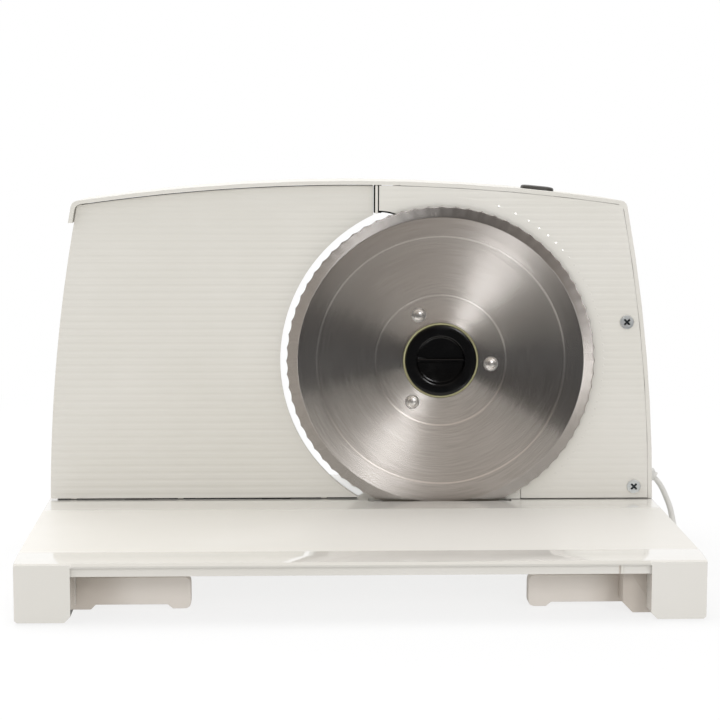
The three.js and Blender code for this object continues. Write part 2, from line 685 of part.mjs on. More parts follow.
function baseGeometry() {
  const profile = [
    [front, plateUnder], [rear, plateUnder], [rear, TABLE_TOP],
    [front + LIP_DEPTH, TABLE_TOP], [front + FOOT_EDGE, TABLE_TOP - LIP_DROP],
    [front, TABLE_TOP - LIP_DROP - FOOT_EDGE],
  ];
  const skirtAt = (inset) => box(
    inset - half, half - inset, front + inset, rear - inset, SKIRT_BOTTOM, plateUnder + 0.5,
  );
  const skirt = cut(
    skirtAt(SKIRT_INSET),
    box(
      SKIRT_INSET + SKIRT_WALL - half, half - SKIRT_INSET - SKIRT_WALL,
      front + SKIRT_INSET + SKIRT_WALL, rear - SKIRT_INSET - SKIRT_WALL, 0, TABLE_TOP,
    ),
  );
  const rodEnds = ROD_X.flatMap((x) => [ROD_FROM, ROD_TO - BRACKET_DEPTH].map((y) => box(
    x - SLEEVE / 2, x + SLEEVE / 2, y, y + BRACKET_DEPTH, ROD_Z - SLEEVE / 2 + 0.5, plateUnder + 0.5,
  )));
  const posts = COVER_SCREWS.map(([x, y]) => rodZ(COVER_POST, COVER_TOP + GAP, plateUnder + 0.5, x, y, 16));
  const feet = footSpots.map(({ side, y }) => footBlock(side, y));
  const whole = join(
    prismX(profile, -half, half), skirt, troughBox(TROUGH_WALL), ...rodEnds, ...posts, ...feet,
  );
  const slot = box(slotLeft, slotRight, -SLOT_FRONT, SLOT_BACK, troughBottom, TABLE_TOP + 1);
  const legSlots = LEG_X.map((x) => box(
    x - LEG_WIDTH / 2 - SLOT_ROOM, x + LEG_WIDTH / 2 + SLOT_ROOM,
    legFront - travelFront - SLOT_ROOM, legBack + travelBack + SLOT_ROOM, plateUnder - 1, TABLE_TOP + 1,
  ));
  const rodHoles = ROD_X.map((x) => rodY(
    ROD_RADIUS + GAP, ROD_FROM + 1, ROD_TO - 1, x, ROD_Z, 16,
  ));
  const padHoles = footSpots.map(({ side, y }) => rodZ(
    PAD_RADIUS + GAP, 0, PAD_HEIGHT + GAP, side * padX, y + FOOT_DEPTH / 2, 16,
  ));
  const pegHoles = [-1, 1].map((side) => rodY(
    PEG_RADIUS + GAP, front + FOOT_DEPTH - PEG_LENGTH - 1, front + FOOT_DEPTH + 1, side * pegX, barZ, 16,
  ));
  const screwHoles = caseScrewAt.map(([x, y]) =>
    rodZ(SCREW_RADIUS + SCREW_FIT, 0, TABLE_TOP + 1, x, y, HOLE_SIDES));
  const screwSeats = caseScrewAt.map(([x, y]) => rodZ(
    SCREW_HEAD + SCREW_FIT, 0, plateUnder, x, y, 16,
  ));
  const coverHoles = COVER_SCREWS.map(([x, y]) => rodZ(
    SCREW_RADIUS + SCREW_FIT, 0, plateUnder - 1, x, y, HOLE_SIDES,
  ));
  return cut(
    whole, slot, ...legSlots, riserSlot(plateUnder - 1, TABLE_TOP + 1), ...rodHoles, ...padHoles,
    ...pegHoles, ...screwHoles, ...screwSeats, ...coverHoles,
  );
}

// Trough under the table slot, in which the lower edge of the blade runs
function troughBox(wall) {
  return box(
    slotLeft - wall, slotRight + wall, -SLOT_FRONT - wall, SLOT_BACK + wall, troughBottom - wall,
    plateUnder + 0.5,
  );
}

function riserSlot(z0, z1) {
  return box(
    RISER_LEFT - SLOT_ROOM, RISER_LEFT + RISER_WIDTH + SLOT_ROOM,
    RISER_FROM - travelFront - SLOT_ROOM, RISER_FROM + RISER_DEPTH + travelBack + SLOT_ROOM, z0, z1,
  );
}

part('base', baseGeometry(), GLOSS_WHITE);

for (const { name, side, y } of footSpots) {
  part(`rubber_foot_${name}`, rodZ(PAD_RADIUS, 0, PAD_HEIGHT, side * padX, y + FOOT_DEPTH / 2, 16), RUBBER);
}

// Bar behind each front foot, with a deep end behind the foot and a small pad at its free end
function footBar(side) {
  const y0 = front + FOOT_DEPTH + GAP;
  const free = half - FOOT_WIDTH - BAR_LENGTH;
  const root = half - FOOT_WIDTH - BAR_ROOT_PAST;
  const bar = prismY(
    roundedBox(free, root + BAR_ROUND, BAR_BOTTOM, BAR_TOP, BAR_ROUND), y0, y0 + BAR_THICKNESS,
  );
  const deep = box(root, root + BAR_ROOT, y0, y0 + BAR_THICKNESS, BAR_PAD_BOTTOM, BAR_TOP);
  const pad = prismY(
    roundedBox(free + BAR_ROUND / 2, free + BAR_PAD, BAR_PAD_BOTTOM, BAR_BOTTOM + 2, 1), y0,
    y0 + BAR_THICKNESS,
  );
  const peg = rodY(PEG_RADIUS, y0 - PEG_LENGTH, y0 + 1, pegX, barZ, 16);
  const whole = join(bar, deep, pad, peg);
  return side > 0 ? whole : whole.scale(-1, 1, 1);
}

part('left_foot_bar', footBar(-1), WHITE);
part('right_foot_bar', footBar(1), WHITE);

// Bottom cover: a tray under the fence slide whose walls meet the underside of the table
function bottomCover() {
  const floor = COVER_TOP - COVER_THICKNESS;
  const tray = box(COVER_LEFT, COVER_RIGHT, COVER_FRONT, COVER_BACK, floor, plateUnder - GAP);
  const inside = box(
    COVER_LEFT + COVER_THICKNESS, COVER_RIGHT - COVER_THICKNESS, COVER_FRONT + COVER_THICKNESS,
    COVER_BACK - COVER_THICKNESS, COVER_TOP, TABLE_TOP,
  );
  const holes = COVER_SCREWS.map(([x, y]) => rodZ(SCREW_RADIUS + SCREW_FIT, 0, TABLE_TOP, x, y, HOLE_SIDES));
  return cut(tray, inside, troughBox(TROUGH_WALL + GAP), ...holes);
}

part('bottom_cover', bottomCover(), GREY);
COVER_SCREWS.forEach(([x, y], i) => {
  const screw = screwGeometry(SCREW_LENGTH).rotateX(PI / 2);
  const under = COVER_TOP - COVER_THICKNESS - GAP - SCREW_HEAD_HEIGHT;
  part(`bottom_cover_screw_${i + 1}`, screw.translate(x, y, under), ZINC);
});

// Motor case: a tub open to the front and below, with a drum behind the blade and the roof over the fence
const switchTilt = asin(SWITCH_X / CROWN_RADIUS);
const switchZ = crownAt(SWITCH_X, narrowing(SWITCH_Y));
const switchPlace = new THREE.Matrix4()
  .makeRotationY(switchTilt)
  .setPosition(SWITCH_X, SWITCH_Y, switchZ);

function buttonOutline(grow) {
  const [l, w] = [BUTTON_LENGTH / 2 + grow, BUTTON_WIDTH / 2 + grow];
  return roundedBox(-l, l, -w, w, w, 5);
}

function caseRegion(inset) {
  const far = WIDTH;
  return join(
    box(CASE_LEFT + inset, far, -far, far, BLADE_Z, far),
    box(BLADE_X, far, -far, far, -far, BLADE_Z + 1),
    rodY(drumRadius - inset, -far, far, BLADE_X, BLADE_Z, DRUM_SIDES),
  );
}

const platePosts = PLATE_POST_ANGLES.map((angle) => [
  BLADE_X + PLATE_POST_CIRCLE * cos(rad(angle)), BLADE_Z + PLATE_POST_CIRCLE * sin(rad(angle)),
]);
const glandWall = sideAt(GLAND_Z, narrowing(GLAND_Y));
const panelScrews = [PANEL_SCREW_UPPER, PANEL_SCREW_LOWER].map(([inset, z]) => [half - inset, z]);
const panelBack = CASE_FRONT + PANEL_THICKNESS;
const tabBottom = BODY_HEIGHT - CASE_WALL - PANEL_TAB;

function caseGeometry() {
  const shell = common(bodyLoft(0, 0, CASE_FRONT, rear, bodyBottom), caseRegion(0));
  const roofEnd = rear - ROOF_SHORT;
  const roofOuter = bodyLoft(0, -LIP_THICKNESS, CASE_FRONT, roofEnd, bodyBottom);
  const roofInner = bodyLoft(ROOF, 0, CASE_FRONT - 1, roofEnd + 1, 0);
  const [, cornerZ] = cornerOf(0, 0);
  const roof = common(
    cut(roofOuter, roofInner),
    box(-WIDTH, CASE_LEFT + CASE_WALL, -WIDTH, WIDTH, cornerZ - LIP_HEIGHT, BODY_HEIGHT),
  );
  const hollow = common(
    bodyLoft(CASE_WALL, CASE_WALL, CASE_FRONT - 1, rearInside, 0, CASE_WALL),
    caseRegion(CASE_WALL),
  );
  const lowerRight = box(BLADE_X - 1, PANEL_FOOT - GAP, -WIDTH, WIDTH, bodyBottom, BLADE_Z);
  const outside = rodY(drumInside, -WIDTH, WIDTH, BLADE_X, BLADE_Z, DRUM_SIDES);
  const web = common(box(0, WIDTH, CASE_FRONT, CASE_FRONT + CASE_WALL, bodyBottom, BLADE_Z), lowerRight);
  const drumWall = common(rodY(drumRadius, CASE_FRONT, plateFront, BLADE_X, BLADE_Z, DRUM_SIDES), lowerRight);
  const tub = join(cut(shell, hollow), roof, cut(web, outside), cut(drumWall, outside));
  const posts = platePosts.map(([x, z]) => rodY(BOSS_RADIUS, plateBack + GAP, rear - 1, x, z, 16));
  const panelBosses = panelScrews.map(([x, z]) => common(
    box(x - BOSS_RADIUS, half, panelBack + GAP, panelBack + GAP + SCREW_LENGTH, z - BOSS_RADIUS,
    z + BOSS_RADIUS),
    bodyLoft(1, 1, CASE_FRONT, rear, bodyBottom),
  ));
  const caseBosses = caseScrewAt.map(([x, y], i) => common(
    box(
      x - BOSS_RADIUS, i < SIDE_SCREW_Y.length ? half : x + BOSS_RADIUS, y - BOSS_RADIUS,
      i < SIDE_SCREW_Y.length ? y + BOSS_RADIUS : rear, bodyBottom, bodyBottom + CASE_BOSS_HEIGHT,
    ),
    bodyLoft(1, 1, CASE_FRONT, rear - 1, bodyBottom),
  ));
  const shaftBoss = rodY(SHAFT_RADIUS + 4, MOTOR_Y + 14, rear - 1, pinionX, pinionZ, 20);
  const neckBoss = rodY(
    NECK_RADIUS + NECK_BOSS_WALL, rearInside - NECK_BOSS, rear - 1, spindleX, SPINDLE_Z, 20,
  );
  const ribX = SWITCH_LENGTH / 2 + GAP;
  const ribs = [-1, 1].map((side) => box(
    min(side * ribX, side * (ribX + SWITCH_RIB)), max(side * ribX, side * (ribX + SWITCH_RIB)),
    -SWITCH_WIDTH / 2, SWITCH_WIDTH / 2, -BUTTON_SKIRT - SPRING_ROOM - SWITCH_HEIGHT, -ROOF / 2,
  ).applyMatrix4(switchPlace));
  const whole = join(tub, ...posts, ...panelBosses, ...caseBosses, shaftBoss, neckBoss, ...ribs);
  const postHoles = platePosts.map(([x, z]) => screwRoom(x, plateFront - SCREW_HEAD_HEIGHT, z));
  const panelHoles = panelScrews.map(([x, z]) => screwRoom(x, CASE_FRONT, z, SCREW_LENGTH - 2));
  const caseHoles = caseScrewAt.map(([x, y]) => rodZ(
    SCREW_RADIUS + SCREW_FIT, 0, plateUnder + SCREW_LENGTH + 1, x, y, HOLE_SIDES,
  ));
  const shaftHole = rodY(SHAFT_RADIUS + RUNNING, 0, MOTOR_Y + 24, pinionX, pinionZ, 20);
  const neckHole = rodY(NECK_RADIUS + RUNNING, 0, rear + 1, spindleX, SPINDLE_Z, 20);
  const glandHole = rodX(GLAND_ROOT + GAP, glandWall - 2 * CASE_WALL, half, GLAND_Y, GLAND_Z, 20);
  const buttonHole = prismZ(buttonOutline(BUTTON_CLEAR), -ROOF * 2, ROOF * 2).applyMatrix4(switchPlace);
  const tabRoom = common(
    box(0, CASE_LEFT + CASE_WALL + 1, 0, panelBack + GAP, tabBottom - GAP, BODY_HEIGHT),
    prismY(bodyOutline(CASE_WALL, CASE_WALL, 0), -WIDTH, WIDTH),
  );
  return cut(
    whole, ...postHoles, ...panelHoles, ...caseHoles, shaftHole, neckHole, glandHole, buttonHole, tabRoom,
    riserSlot(0, bodyBottom + drumRadius / 4),
  );
}

part('motor_case', caseGeometry(), WHITE);

caseScrewAt.forEach(([x, y], i) => {
  const screw = screwGeometry().rotateX(PI / 2);
  part(`case_screw_${i + 1}`, screw.translate(x, y, plateUnder - GAP - SCREW_HEAD_HEIGHT), ZINC);
});

// Ribbed front panel round the blade, with a short wall behind its round edge
function panelGeometry() {
  const inset = CASE_WALL + GAP;
  const outline = bodyOutline(inset, inset, bodyBottom + GAP);
  const region = join(
    box(PANEL_LEFT, WIDTH, -WIDTH, WIDTH, tabBottom, WIDTH),
    box(CASE_LEFT + CASE_WALL + GAP, WIDTH, -WIDTH, WIDTH, BLADE_Z, WIDTH),
    box(PANEL_FOOT, WIDTH, -WIDTH, WIDTH, 0, BLADE_Z + 1),
  );
  const bore = rodY(drumInside, -WIDTH, WIDTH, BLADE_X, BLADE_Z, DRUM_SIDES);
  const sheet = cut(
    common(prismY(outline, CASE_FRONT + RIB_HEIGHT, panelBack), region),
    bore,
  );
  const ribs = cut(
    common(
      ribbedSheet(CASE_FRONT, CASE_FRONT + 2 * RIB_HEIGHT, TABLE_TOP, BODY_HEIGHT),
      prismY(outline, 0, panelBack),
      region,
    ),
    rodY(PANEL_SMOOTH, -WIDTH, WIDTH, BLADE_X, BLADE_Z, DRUM_SIDES),
  );
  const inside = box(CASE_LEFT + CASE_WALL + GAP, WIDTH, -WIDTH, WIDTH, BLADE_Z, WIDTH);
  const below = box(PANEL_FOOT, WIDTH, -WIDTH, WIDTH, 0, BLADE_Z + 1);
  const wall = common(
    cut(rodY(drumRadius, CASE_FRONT + RIB_HEIGHT, plateFront, BLADE_X, BLADE_Z, DRUM_SIDES), bore),
    join(inside, below),
    prismY(outline, -WIDTH, WIDTH),
  );
  const heads = panelScrews.map(([x, z]) => rodY(SCREW_HEAD + SCREW_FIT, 0, panelBack - 1.2, x, z, 16));
  const holes = panelScrews.map(([x, z]) => screwRoom(x, 0, z));
  return cut(join(sheet, ribs, wall), ...heads, ...holes);
}

part('front_panel', panelGeometry(), WHITE);
['upper', 'lower'].forEach((place, i) => {
  const [x, z] = panelScrews[i];
  const screw = screwGeometry(SCREW_LENGTH - 3);
  part(`panel_screw_${place}`, screw.translate(x, panelBack - 1.2 - GAP - SCREW_HEAD_HEIGHT, z), ZINC);
});

// Gear plate: the bulkhead behind the blade, which carries the axle and the pinion shaft
function gearPlate() {
  const disc = rodY(drumInside - GAP, plateFront + GAP, plateBack, BLADE_X, BLADE_Z, DRUM_SIDES);
  const boss = rodY(GEAR_PLATE_BOSS, plateBack - 1, plateBack + GEAR_PLATE_BOSS_LENGTH, pinionX, pinionZ, 24);
  const axleHole = rodY(AXLE_RADIUS + GAP, 0, plateBack + 1, BLADE_X, BLADE_Z, 20);
  const shaftHole = rodY(
    SHAFT_RADIUS + RUNNING, 0, plateBack + GEAR_PLATE_BOSS_LENGTH + 1, pinionX, pinionZ, 20,
  );
  const holes = platePosts.map(([x, z]) => screwRoom(x, 0, z, CASE_DEPTH));
  return cut(join(disc, boss), axleHole, shaftHole, ...holes);
}

part('gear_plate', gearPlate(), GREY);
platePosts.forEach(([x, z], i) => {
  const screw = screwGeometry();
  part(`gear_plate_screw_${i + 1}`, screw.translate(x, plateFront - GAP - SCREW_HEAD_HEIGHT, z), ZINC);
});

// Blade axle: a hollow stub with a thrust flange, held in the gear plate
function axleGeometry() {
  const bore = AXLE_RADIUS - AXLE_WALL;
  const tip = hubFront + LOCK_DEPTH - LOCK_PROUD + GAP + 1;
  return turnedY([
    [bore, tip], [AXLE_RADIUS, tip], [AXLE_RADIUS, flangeFront], [AXLE_FLANGE, flangeFront],
    [AXLE_FLANGE, flangeFront + AXLE_FLANGE_WIDTH], [AXLE_RADIUS, flangeFront + AXLE_FLANGE_WIDTH],
    [AXLE_RADIUS, plateBack + 3], [bore, plateBack + 3], [bore, tip],
  ], BLADE_X, BLADE_Z, 20);
}

part('blade_axle', axleGeometry(), STEEL);

// Blade: a dished disc turned about its axle, with scallops ground into the cutting edge
function bladeGeometry() {
  const coneBack = RIM_STEP + CONE_FALL;
  const faces = [
    [HUB_BORE, hubFront], [HUB_STEP_RADIUS - STEP_WIDTH / 2, hubFront],
    [HUB_STEP_RADIUS + STEP_WIDTH / 2, coneBack], [RIM_STEP_RADIUS - STEP_WIDTH / 2, RIM_STEP],
    [RIM_STEP_RADIUS + STEP_WIDTH / 2, 0], [BLADE_RADIUS - BEVEL_WIDTH, 0],
  ];
  const backs = faces.map(([r, y]) => [r, y + BLADE_THICKNESS]).reverse();
  const edge = [[BLADE_RADIUS, BEVEL_BACK], [BLADE_RADIUS, BEVEL_BACK + EDGE_THICKNESS]];
  const profile = [...faces, ...backs];
  const points = [];
  const index = [];
  const place = (r, y, angle) => {
    points.push(BLADE_X + r * cos(angle), y, BLADE_Z + r * sin(angle));
    return points.length / 3 - 1;
  };
  const sectors = Array.from({ length: SCALLOPS }, (_, i) => {
    const angle = (2 * PI * i) / SCALLOPS;
    const valley = angle + PI / SCALLOPS;
    return {
      spoke: profile.map(([r, y]) => place(r, y, angle)),
      peak: edge.map(([r, y]) => place(r, y, angle)),
      valley: edge.map(([r, y]) => place(r - SCALLOP_DEPTH, y, valley)),
    };
  });
  const quad = (a, b, c, d) => index.push(a, b, c, a, c, d);
  sectors.forEach((here, i) => {
    const next = sectors[(i + 1) % SCALLOPS];
    const count = profile.length;
    const rim = faces.length - 1;
    for (let j = 0; j < count; j += 1) {
      const k = (j + 1) % count;
      if (j !== rim) quad(here.spoke[j], here.spoke[k], next.spoke[k], next.spoke[j]);
    }
    const [a, b, c, d] = [here.spoke[rim], next.spoke[rim], here.spoke[rim + 1], next.spoke[rim + 1]];
    index.push(a, here.peak[0], here.valley[0], a, here.valley[0], b, here.valley[0], next.peak[0], b);
    index.push(here.valley[1], here.peak[1], c, here.valley[1], c, d, here.valley[1], d, next.peak[1]);
    quad(here.peak[0], here.peak[1], here.valley[1], here.valley[0]);
    quad(here.valley[0], here.valley[1], next.peak[1], next.peak[0]);
  });
  const geometry = new THREE.BufferGeometry();
  geometry.setAttribute('position', new THREE.Float32BufferAttribute(points, 3));
  geometry.setIndex(index);
  const holes = rivetSpots.map(([x, z]) => rodY(RIVET_SHANK + GAP, -1, hubBack + 1, x, z, HOLE_SIDES));
  return cut(geometry, ...holes);
}

const rivetSpots = RIVET_ANGLES.map((angle) => [
  BLADE_X + RIVET_CIRCLE * cos(rad(angle)), BLADE_Z + RIVET_CIRCLE * sin(rad(angle)),
]);

part('blade', bladeGeometry(), STEEL);
rivetSpots.forEach(([x, z], i) => {
  const head = hubFront - GAP;
  part(`blade_rivet_${i + 1}`, turnedY([
    [0, head - RIVET_HEAD], [RIVET_RADIUS * 0.7, head - RIVET_HEAD], [RIVET_RADIUS, head - RIVET_HEAD / 2],
    [RIVET_RADIUS, head], [RIVET_SHANK, head], [RIVET_SHANK, gearBack - 1], [0, gearBack - 1],
  ], x, z, 10), STEEL);
});

// Involute tooth outline about a centre, with one tooth pointing along the given direction in degrees
function gearOutline(teeth, x, z, pointing) {
  const pitch = (MODULE * teeth) / 2;
  const base = pitch * cos(PRESSURE);
  const tip = pitch + ADDENDUM * MODULE;
  const root = pitch - DEDENDUM * MODULE;
  const roll = (r) => tan(acos(min(1, base / r))) - acos(min(1, base / r));
  const halfTooth = PI / (2 * teeth) - BACKLASH / 2 / (2 * pitch) + roll(pitch);
  const from = max(base, root);
  const flank = [0, 1, 2].map((i) => {
    const r = from + ((tip - from) * i) / 2;
    return [r, halfTooth - roll(r)];
  });
  if (root < base) flank.unshift([root, halfTooth]);
  const points = [];
  for (let i = 0; i < teeth; i += 1) {
    const middle = rad(pointing) + (2 * PI * i) / teeth;
    const sides = [...flank.map(([r, a]) => [r, -a]), ...flank.map(([r, a]) => [r, a]).reverse()];
    for (const [r, a] of sides) points.push([x + r * cos(middle + a), z + r * sin(middle + a)]);
  }
  return points;
}

// Blade gear: its collar shows as a thin ring round the lock knob
function bladeGear() {
  const collar = rodY(HUB_BORE - GAP, hubFront - 0.4, gearFront + 1, BLADE_X, BLADE_Z, 36);
  const teeth = prismY(gearOutline(BLADE_TEETH, BLADE_X, BLADE_Z, PINION_ANGLE), gearFront, gearBack);
  const pocket = rodY(
    LOCK_RADIUS + RUNNING, -1, hubFront - LOCK_PROUD + LOCK_DEPTH + GAP, BLADE_X, BLADE_Z, 36,
  );
  const bore = rodY(AXLE_RADIUS + RUNNING, -1, gearBack + 1, BLADE_X, BLADE_Z, 20);
  const holes = rivetSpots.map(([x, z]) => rodY(RIVET_SHANK + GAP, -1, gearBack + 1, x, z, HOLE_SIDES));
  return cut(join(collar, teeth), pocket, bore, ...holes);
}

part('blade_gear', bladeGear(), NYLON);

// Lock knob: a dished disc with a finger bar, its stem in the hollow axle
function lockKnob() {
  const face = hubFront - LOCK_PROUD;
  const back = face + LOCK_DEPTH;
  const disc = turnedY([
    [0, face], [LOCK_RADIUS - 1.2, face], [LOCK_RADIUS, face + 1], [LOCK_RADIUS, back], [LOCK_STEM, back],
    [LOCK_STEM, back + LOCK_STEM_LENGTH], [0, back + LOCK_STEM_LENGTH],
  ], BLADE_X, BLADE_Z, 36);
  const dish = rodY(LOCK_DISH, face - 1, face + LOCK_DISH_DEPTH, BLADE_X, BLADE_Z, 24);
  const bar = box(
    BLADE_X - LOCK_DISH - 1, BLADE_X + LOCK_DISH + 1, face - 2, face + LOCK_DISH_DEPTH + 1,
    BLADE_Z - LOCK_BAR / 2, BLADE_Z + LOCK_BAR / 2,
  );
  return cut(disc, cut(dish, bar));
}

part('blade_lock_knob', lockKnob(), BLACK);

// Pinion and its shaft, which runs in the gear plate and in the rear wall
function drivePinion() {
  const pointing = PINION_ANGLE + 180 + 180 / PINION_TEETH;
  const teeth = prismY(gearOutline(PINION_TEETH, pinionX, pinionZ, pointing), gearFront, gearBack);
  return join(teeth, rodY(SHAFT_RADIUS, gearFront + 1, MOTOR_Y + 23, pinionX, pinionZ, 20));
}

part('drive_pinion', drivePinion(), STEEL);

// Worm gear: slanted teeth that follow the worm's thread, one gap straight above the worm's middle
function wormGear() {
  const lean = wormPitch / (2 * PI * WORM_RADIUS);
  const y0 = MOTOR_Y - WORM_GEAR_WIDTH / 2;
  const y1 = MOTOR_Y + WORM_GEAR_WIDTH / 2;
  const turn = THREE.MathUtils.radToDeg((lean * WORM_GEAR_WIDTH) / 2 / wormGearRadius);
  const ring = (y, degrees) => gearOutline(
    WORM_GEAR_TEETH, pinionX, pinionZ, -90 + 180 / WORM_GEAR_TEETH + degrees,
  ).map(([x, z]) => axis(x, y, z));
  const teeth = loft([ring(y0, turn), ring(y1, -turn)]);
  const hub = rodY(WORM_GEAR_HUB, y0 - WORM_GEAR_HUB_LENGTH, y1 + WORM_GEAR_HUB_LENGTH, pinionX, pinionZ, 20);
  return cut(join(teeth, hub), rodY(SHAFT_RADIUS + GAP, 0, rear, pinionX, pinionZ, 20));
}

part('worm_gear', wormGear(), NYLON);

// Motor pieces lie along X through the worm
const alongMotor = (from) => pinionX + from;
const motorRod = (radius, from, to, sides = 24) =>
  rodX(radius, alongMotor(from), alongMotor(to), MOTOR_Y, motorZ, sides);

// Thread of the worm: a tapered ridge wound round the core
function wormGeometry() {
  const steps = 12;
  const turns = WORM_LENGTH / wormPitch - 0.5;
  const slope = tan(PRESSURE);
  const tip = ADDENDUM * MODULE;
  const foot = DEDENDUM * MODULE;
  const thick = wormPitch / 4 - BACKLASH / 2;
  const section = [
    [-foot - 0.4, -(thick + slope * foot)], [tip, -(thick - slope * tip)],
    [tip, thick - slope * tip], [-foot - 0.4, thick + slope * foot],
  ];
  const stations = [];
  const count = ceil(turns * steps);
  for (let i = 0; i <= count; i += 1) {
    const angle = 2 * PI * turns * (i / count - 0.5);
    const out = axis(0, -sin(angle), cos(angle));
    const at = axis(pinionX, MOTOR_Y, motorZ).addScaledVector(out, WORM_RADIUS);
    at.x += (wormPitch * angle) / (2 * PI);
    stations.push({ at, side: out, up: axis(1, 0, 0) });
  }
  const core = motorRod(WORM_RADIUS - foot, -WORM_LENGTH / 2, WORM_LENGTH / 2, 12);
  const bore = motorRod(MOTOR_SHAFT + GAP, -WORM_LENGTH, WORM_LENGTH, 12);
  return cut(join(core, swept(stations, section)), bore);
}

part('motor_shaft', motorRod(MOTOR_SHAFT, -SHAFT_BEFORE, SHAFT_AFTER, 12), STEEL);
part('motor_worm', wormGeometry(), STEEL);

function armatureCore() {
  const points = [];
  for (let i = 0; i < ARMATURE_SLOTS; i += 1) {
    const middle = (2 * PI * i) / ARMATURE_SLOTS;
    const slot = PI / ARMATURE_SLOTS / 2;
    for (const [r, a] of [
      [ARMATURE_RADIUS - SLOT_DEPTH, -slot], [ARMATURE_RADIUS - SLOT_DEPTH, slot],
      [ARMATURE_RADIUS, slot], [ARMATURE_RADIUS, 2 * slot], [ARMATURE_RADIUS, 3 * slot],
    ]) points.push([MOTOR_Y + r * cos(middle + a), motorZ + r * sin(middle + a)]);
  }
  const core = prismX(points, alongMotor(STATOR_FROM), alongMotor(STATOR_FROM + STATOR_LENGTH));
  return cut(core, motorRod(MOTOR_SHAFT + GAP, -SHAFT_BEFORE, SHAFT_AFTER, 12));
}

const onShaft = (radius, from, length) => cut(
  motorRod(radius, from, from + length), motorRod(MOTOR_SHAFT + GAP, -SHAFT_BEFORE, SHAFT_AFTER, 12),
);

function motorFan() {
  const vanes = Array.from({ length: FAN_BLADES }, (_, i) => box(
    alongMotor(FAN_FROM), alongMotor(FAN_FROM + FAN_LENGTH), -FAN_BLADE / 2, FAN_BLADE / 2, 0, FAN_RADIUS,
  ).rotateX((2 * PI * i) / FAN_BLADES).translate(0, MOTOR_Y, motorZ));
  return cut(
    join(motorRod(FAN_HUB, FAN_FROM, FAN_FROM + FAN_LENGTH), ...vanes),
    motorRod(MOTOR_SHAFT + GAP, -SHAFT_BEFORE, SHAFT_AFTER, 12),
  );
}

part('armature_core', armatureCore(), COPPER);
part('commutator', onShaft(COMMUTATOR_RADIUS, COMMUTATOR_FROM, COMMUTATOR_LENGTH), COPPER);
part('motor_fan', motorFan(), GREY);

// Stator: a laminated ring with flats front and back
function stator() {
  const ring = common(
    motorRod(STATOR_RADIUS, STATOR_FROM, STATOR_FROM + STATOR_LENGTH, 40),
    box(0, WIDTH, MOTOR_Y - STATOR_FLAT, MOTOR_Y + STATOR_FLAT, 0, BODY_HEIGHT),
  );
  return cut(ring, motorRod(ARMATURE_RADIUS + AIR_GAP, 0, SHAFT_AFTER, 32));
}

part('motor_stator', stator(), IRON);

// Bearing bracket: a plate across the shaft with a tab to the rear wall and two pegs to the stator
function bearingBracket(from, pegFrom, pegTo) {
  const [x0, x1] = [alongMotor(from), alongMotor(from + BRACKET_THICKNESS)];
  const top = motorZ + BRACKET_ABOVE;
  const plate = box(x0, x1, MOTOR_Y - STATOR_FLAT, MOTOR_Y + STATOR_FLAT, motorZ - BRACKET_BELOW, top);
  const tab = box(x0, x1, MOTOR_Y, rearInside - GAP, top - BRACKET_TAB, top);
  const out = (STATOR_FLAT + ARMATURE_RADIUS + AIR_GAP) / 2;
  const pegY = out * cos(rad(BRACKET_PEG_ANGLE));
  const pegZ = motorZ - out * sin(rad(BRACKET_PEG_ANGLE));
  const pegs = [-1, 1].map((side) =>
    rodX(BRACKET_PEG, alongMotor(pegFrom), alongMotor(pegTo), MOTOR_Y + side * pegY, pegZ, 10));
  return cut(join(plate, tab, ...pegs), motorRod(MOTOR_SHAFT + RUNNING, -SHAFT_BEFORE, SHAFT_AFTER, 12));
}

const statorEnd = STATOR_FROM + STATOR_LENGTH;
part('front_motor_bracket', bearingBracket(BRACKET_FROM, BRACKET_FROM + 1, STATOR_FROM - GAP), GREY);
part('rear_motor_bracket', bearingBracket(REAR_BRACKET_FROM, statorEnd + GAP, REAR_BRACKET_FROM + 1), GREY);

// Carbon brushes in front of and behind the commutator, seated on the rear bracket
for (const [place, side] of [['front', -1], ['rear', 1]]) {
  const near = MOTOR_Y + side * (COMMUTATOR_RADIUS + GAP);
  const far = near + side * BRUSH_LENGTH;
  part(`brush_${place}`, box(
    alongMotor(COMMUTATOR_FROM + 0.5), alongMotor(REAR_BRACKET_FROM - GAP), min(near, far), max(near, far),
    motorZ - BRUSH_SIZE / 2, motorZ + BRUSH_SIZE / 2,
  ), GREY);
}

// Switch: button through the roof, spring under it and the switch body between two ribs of the roof
const switchGroup = new THREE.Group();
switchGroup.applyMatrix4(switchPlace);
cuttingPlane.add(switchGroup);

function switchButton() {
  const stem = prismZ(buttonOutline(0), -BUTTON_SKIRT, BUTTON_PROUD - 1);
  const crown = prismZ(buttonOutline(-1), BUTTON_PROUD - 1.5, BUTTON_PROUD);
  const flangeTop = -ROOF - GAP - CASE_WALL / 2;
  const flange = prismZ(buttonOutline(BUTTON_FLANGE), -BUTTON_SKIRT, flangeTop);
  return join(stem, crown, flange);
}

function switchSpring() {
  const steps = 8;
  const room = SPRING_ROOM - 2 * GAP - 2 * SPRING_WIRE;
  const section = Array.from({ length: 5 }, (_, i) => [
    SPRING_WIRE * cos((2 * PI * i) / 5), SPRING_WIRE * sin((2 * PI * i) / 5),
  ]);
  const stations = [];
  for (let i = 0; i <= steps * SPRING_TURNS; i += 1) {
    const angle = (2 * PI * i) / steps;
    const out = axis(cos(angle), sin(angle), 0);
    const at = out.clone().multiplyScalar(SPRING_RADIUS);
    at.z = -BUTTON_SKIRT - GAP - SPRING_WIRE - (room * i) / (steps * SPRING_TURNS);
    stations.push({ at, side: out, up: axis(0, 0, 1) });
  }
  return swept(stations, section);
}

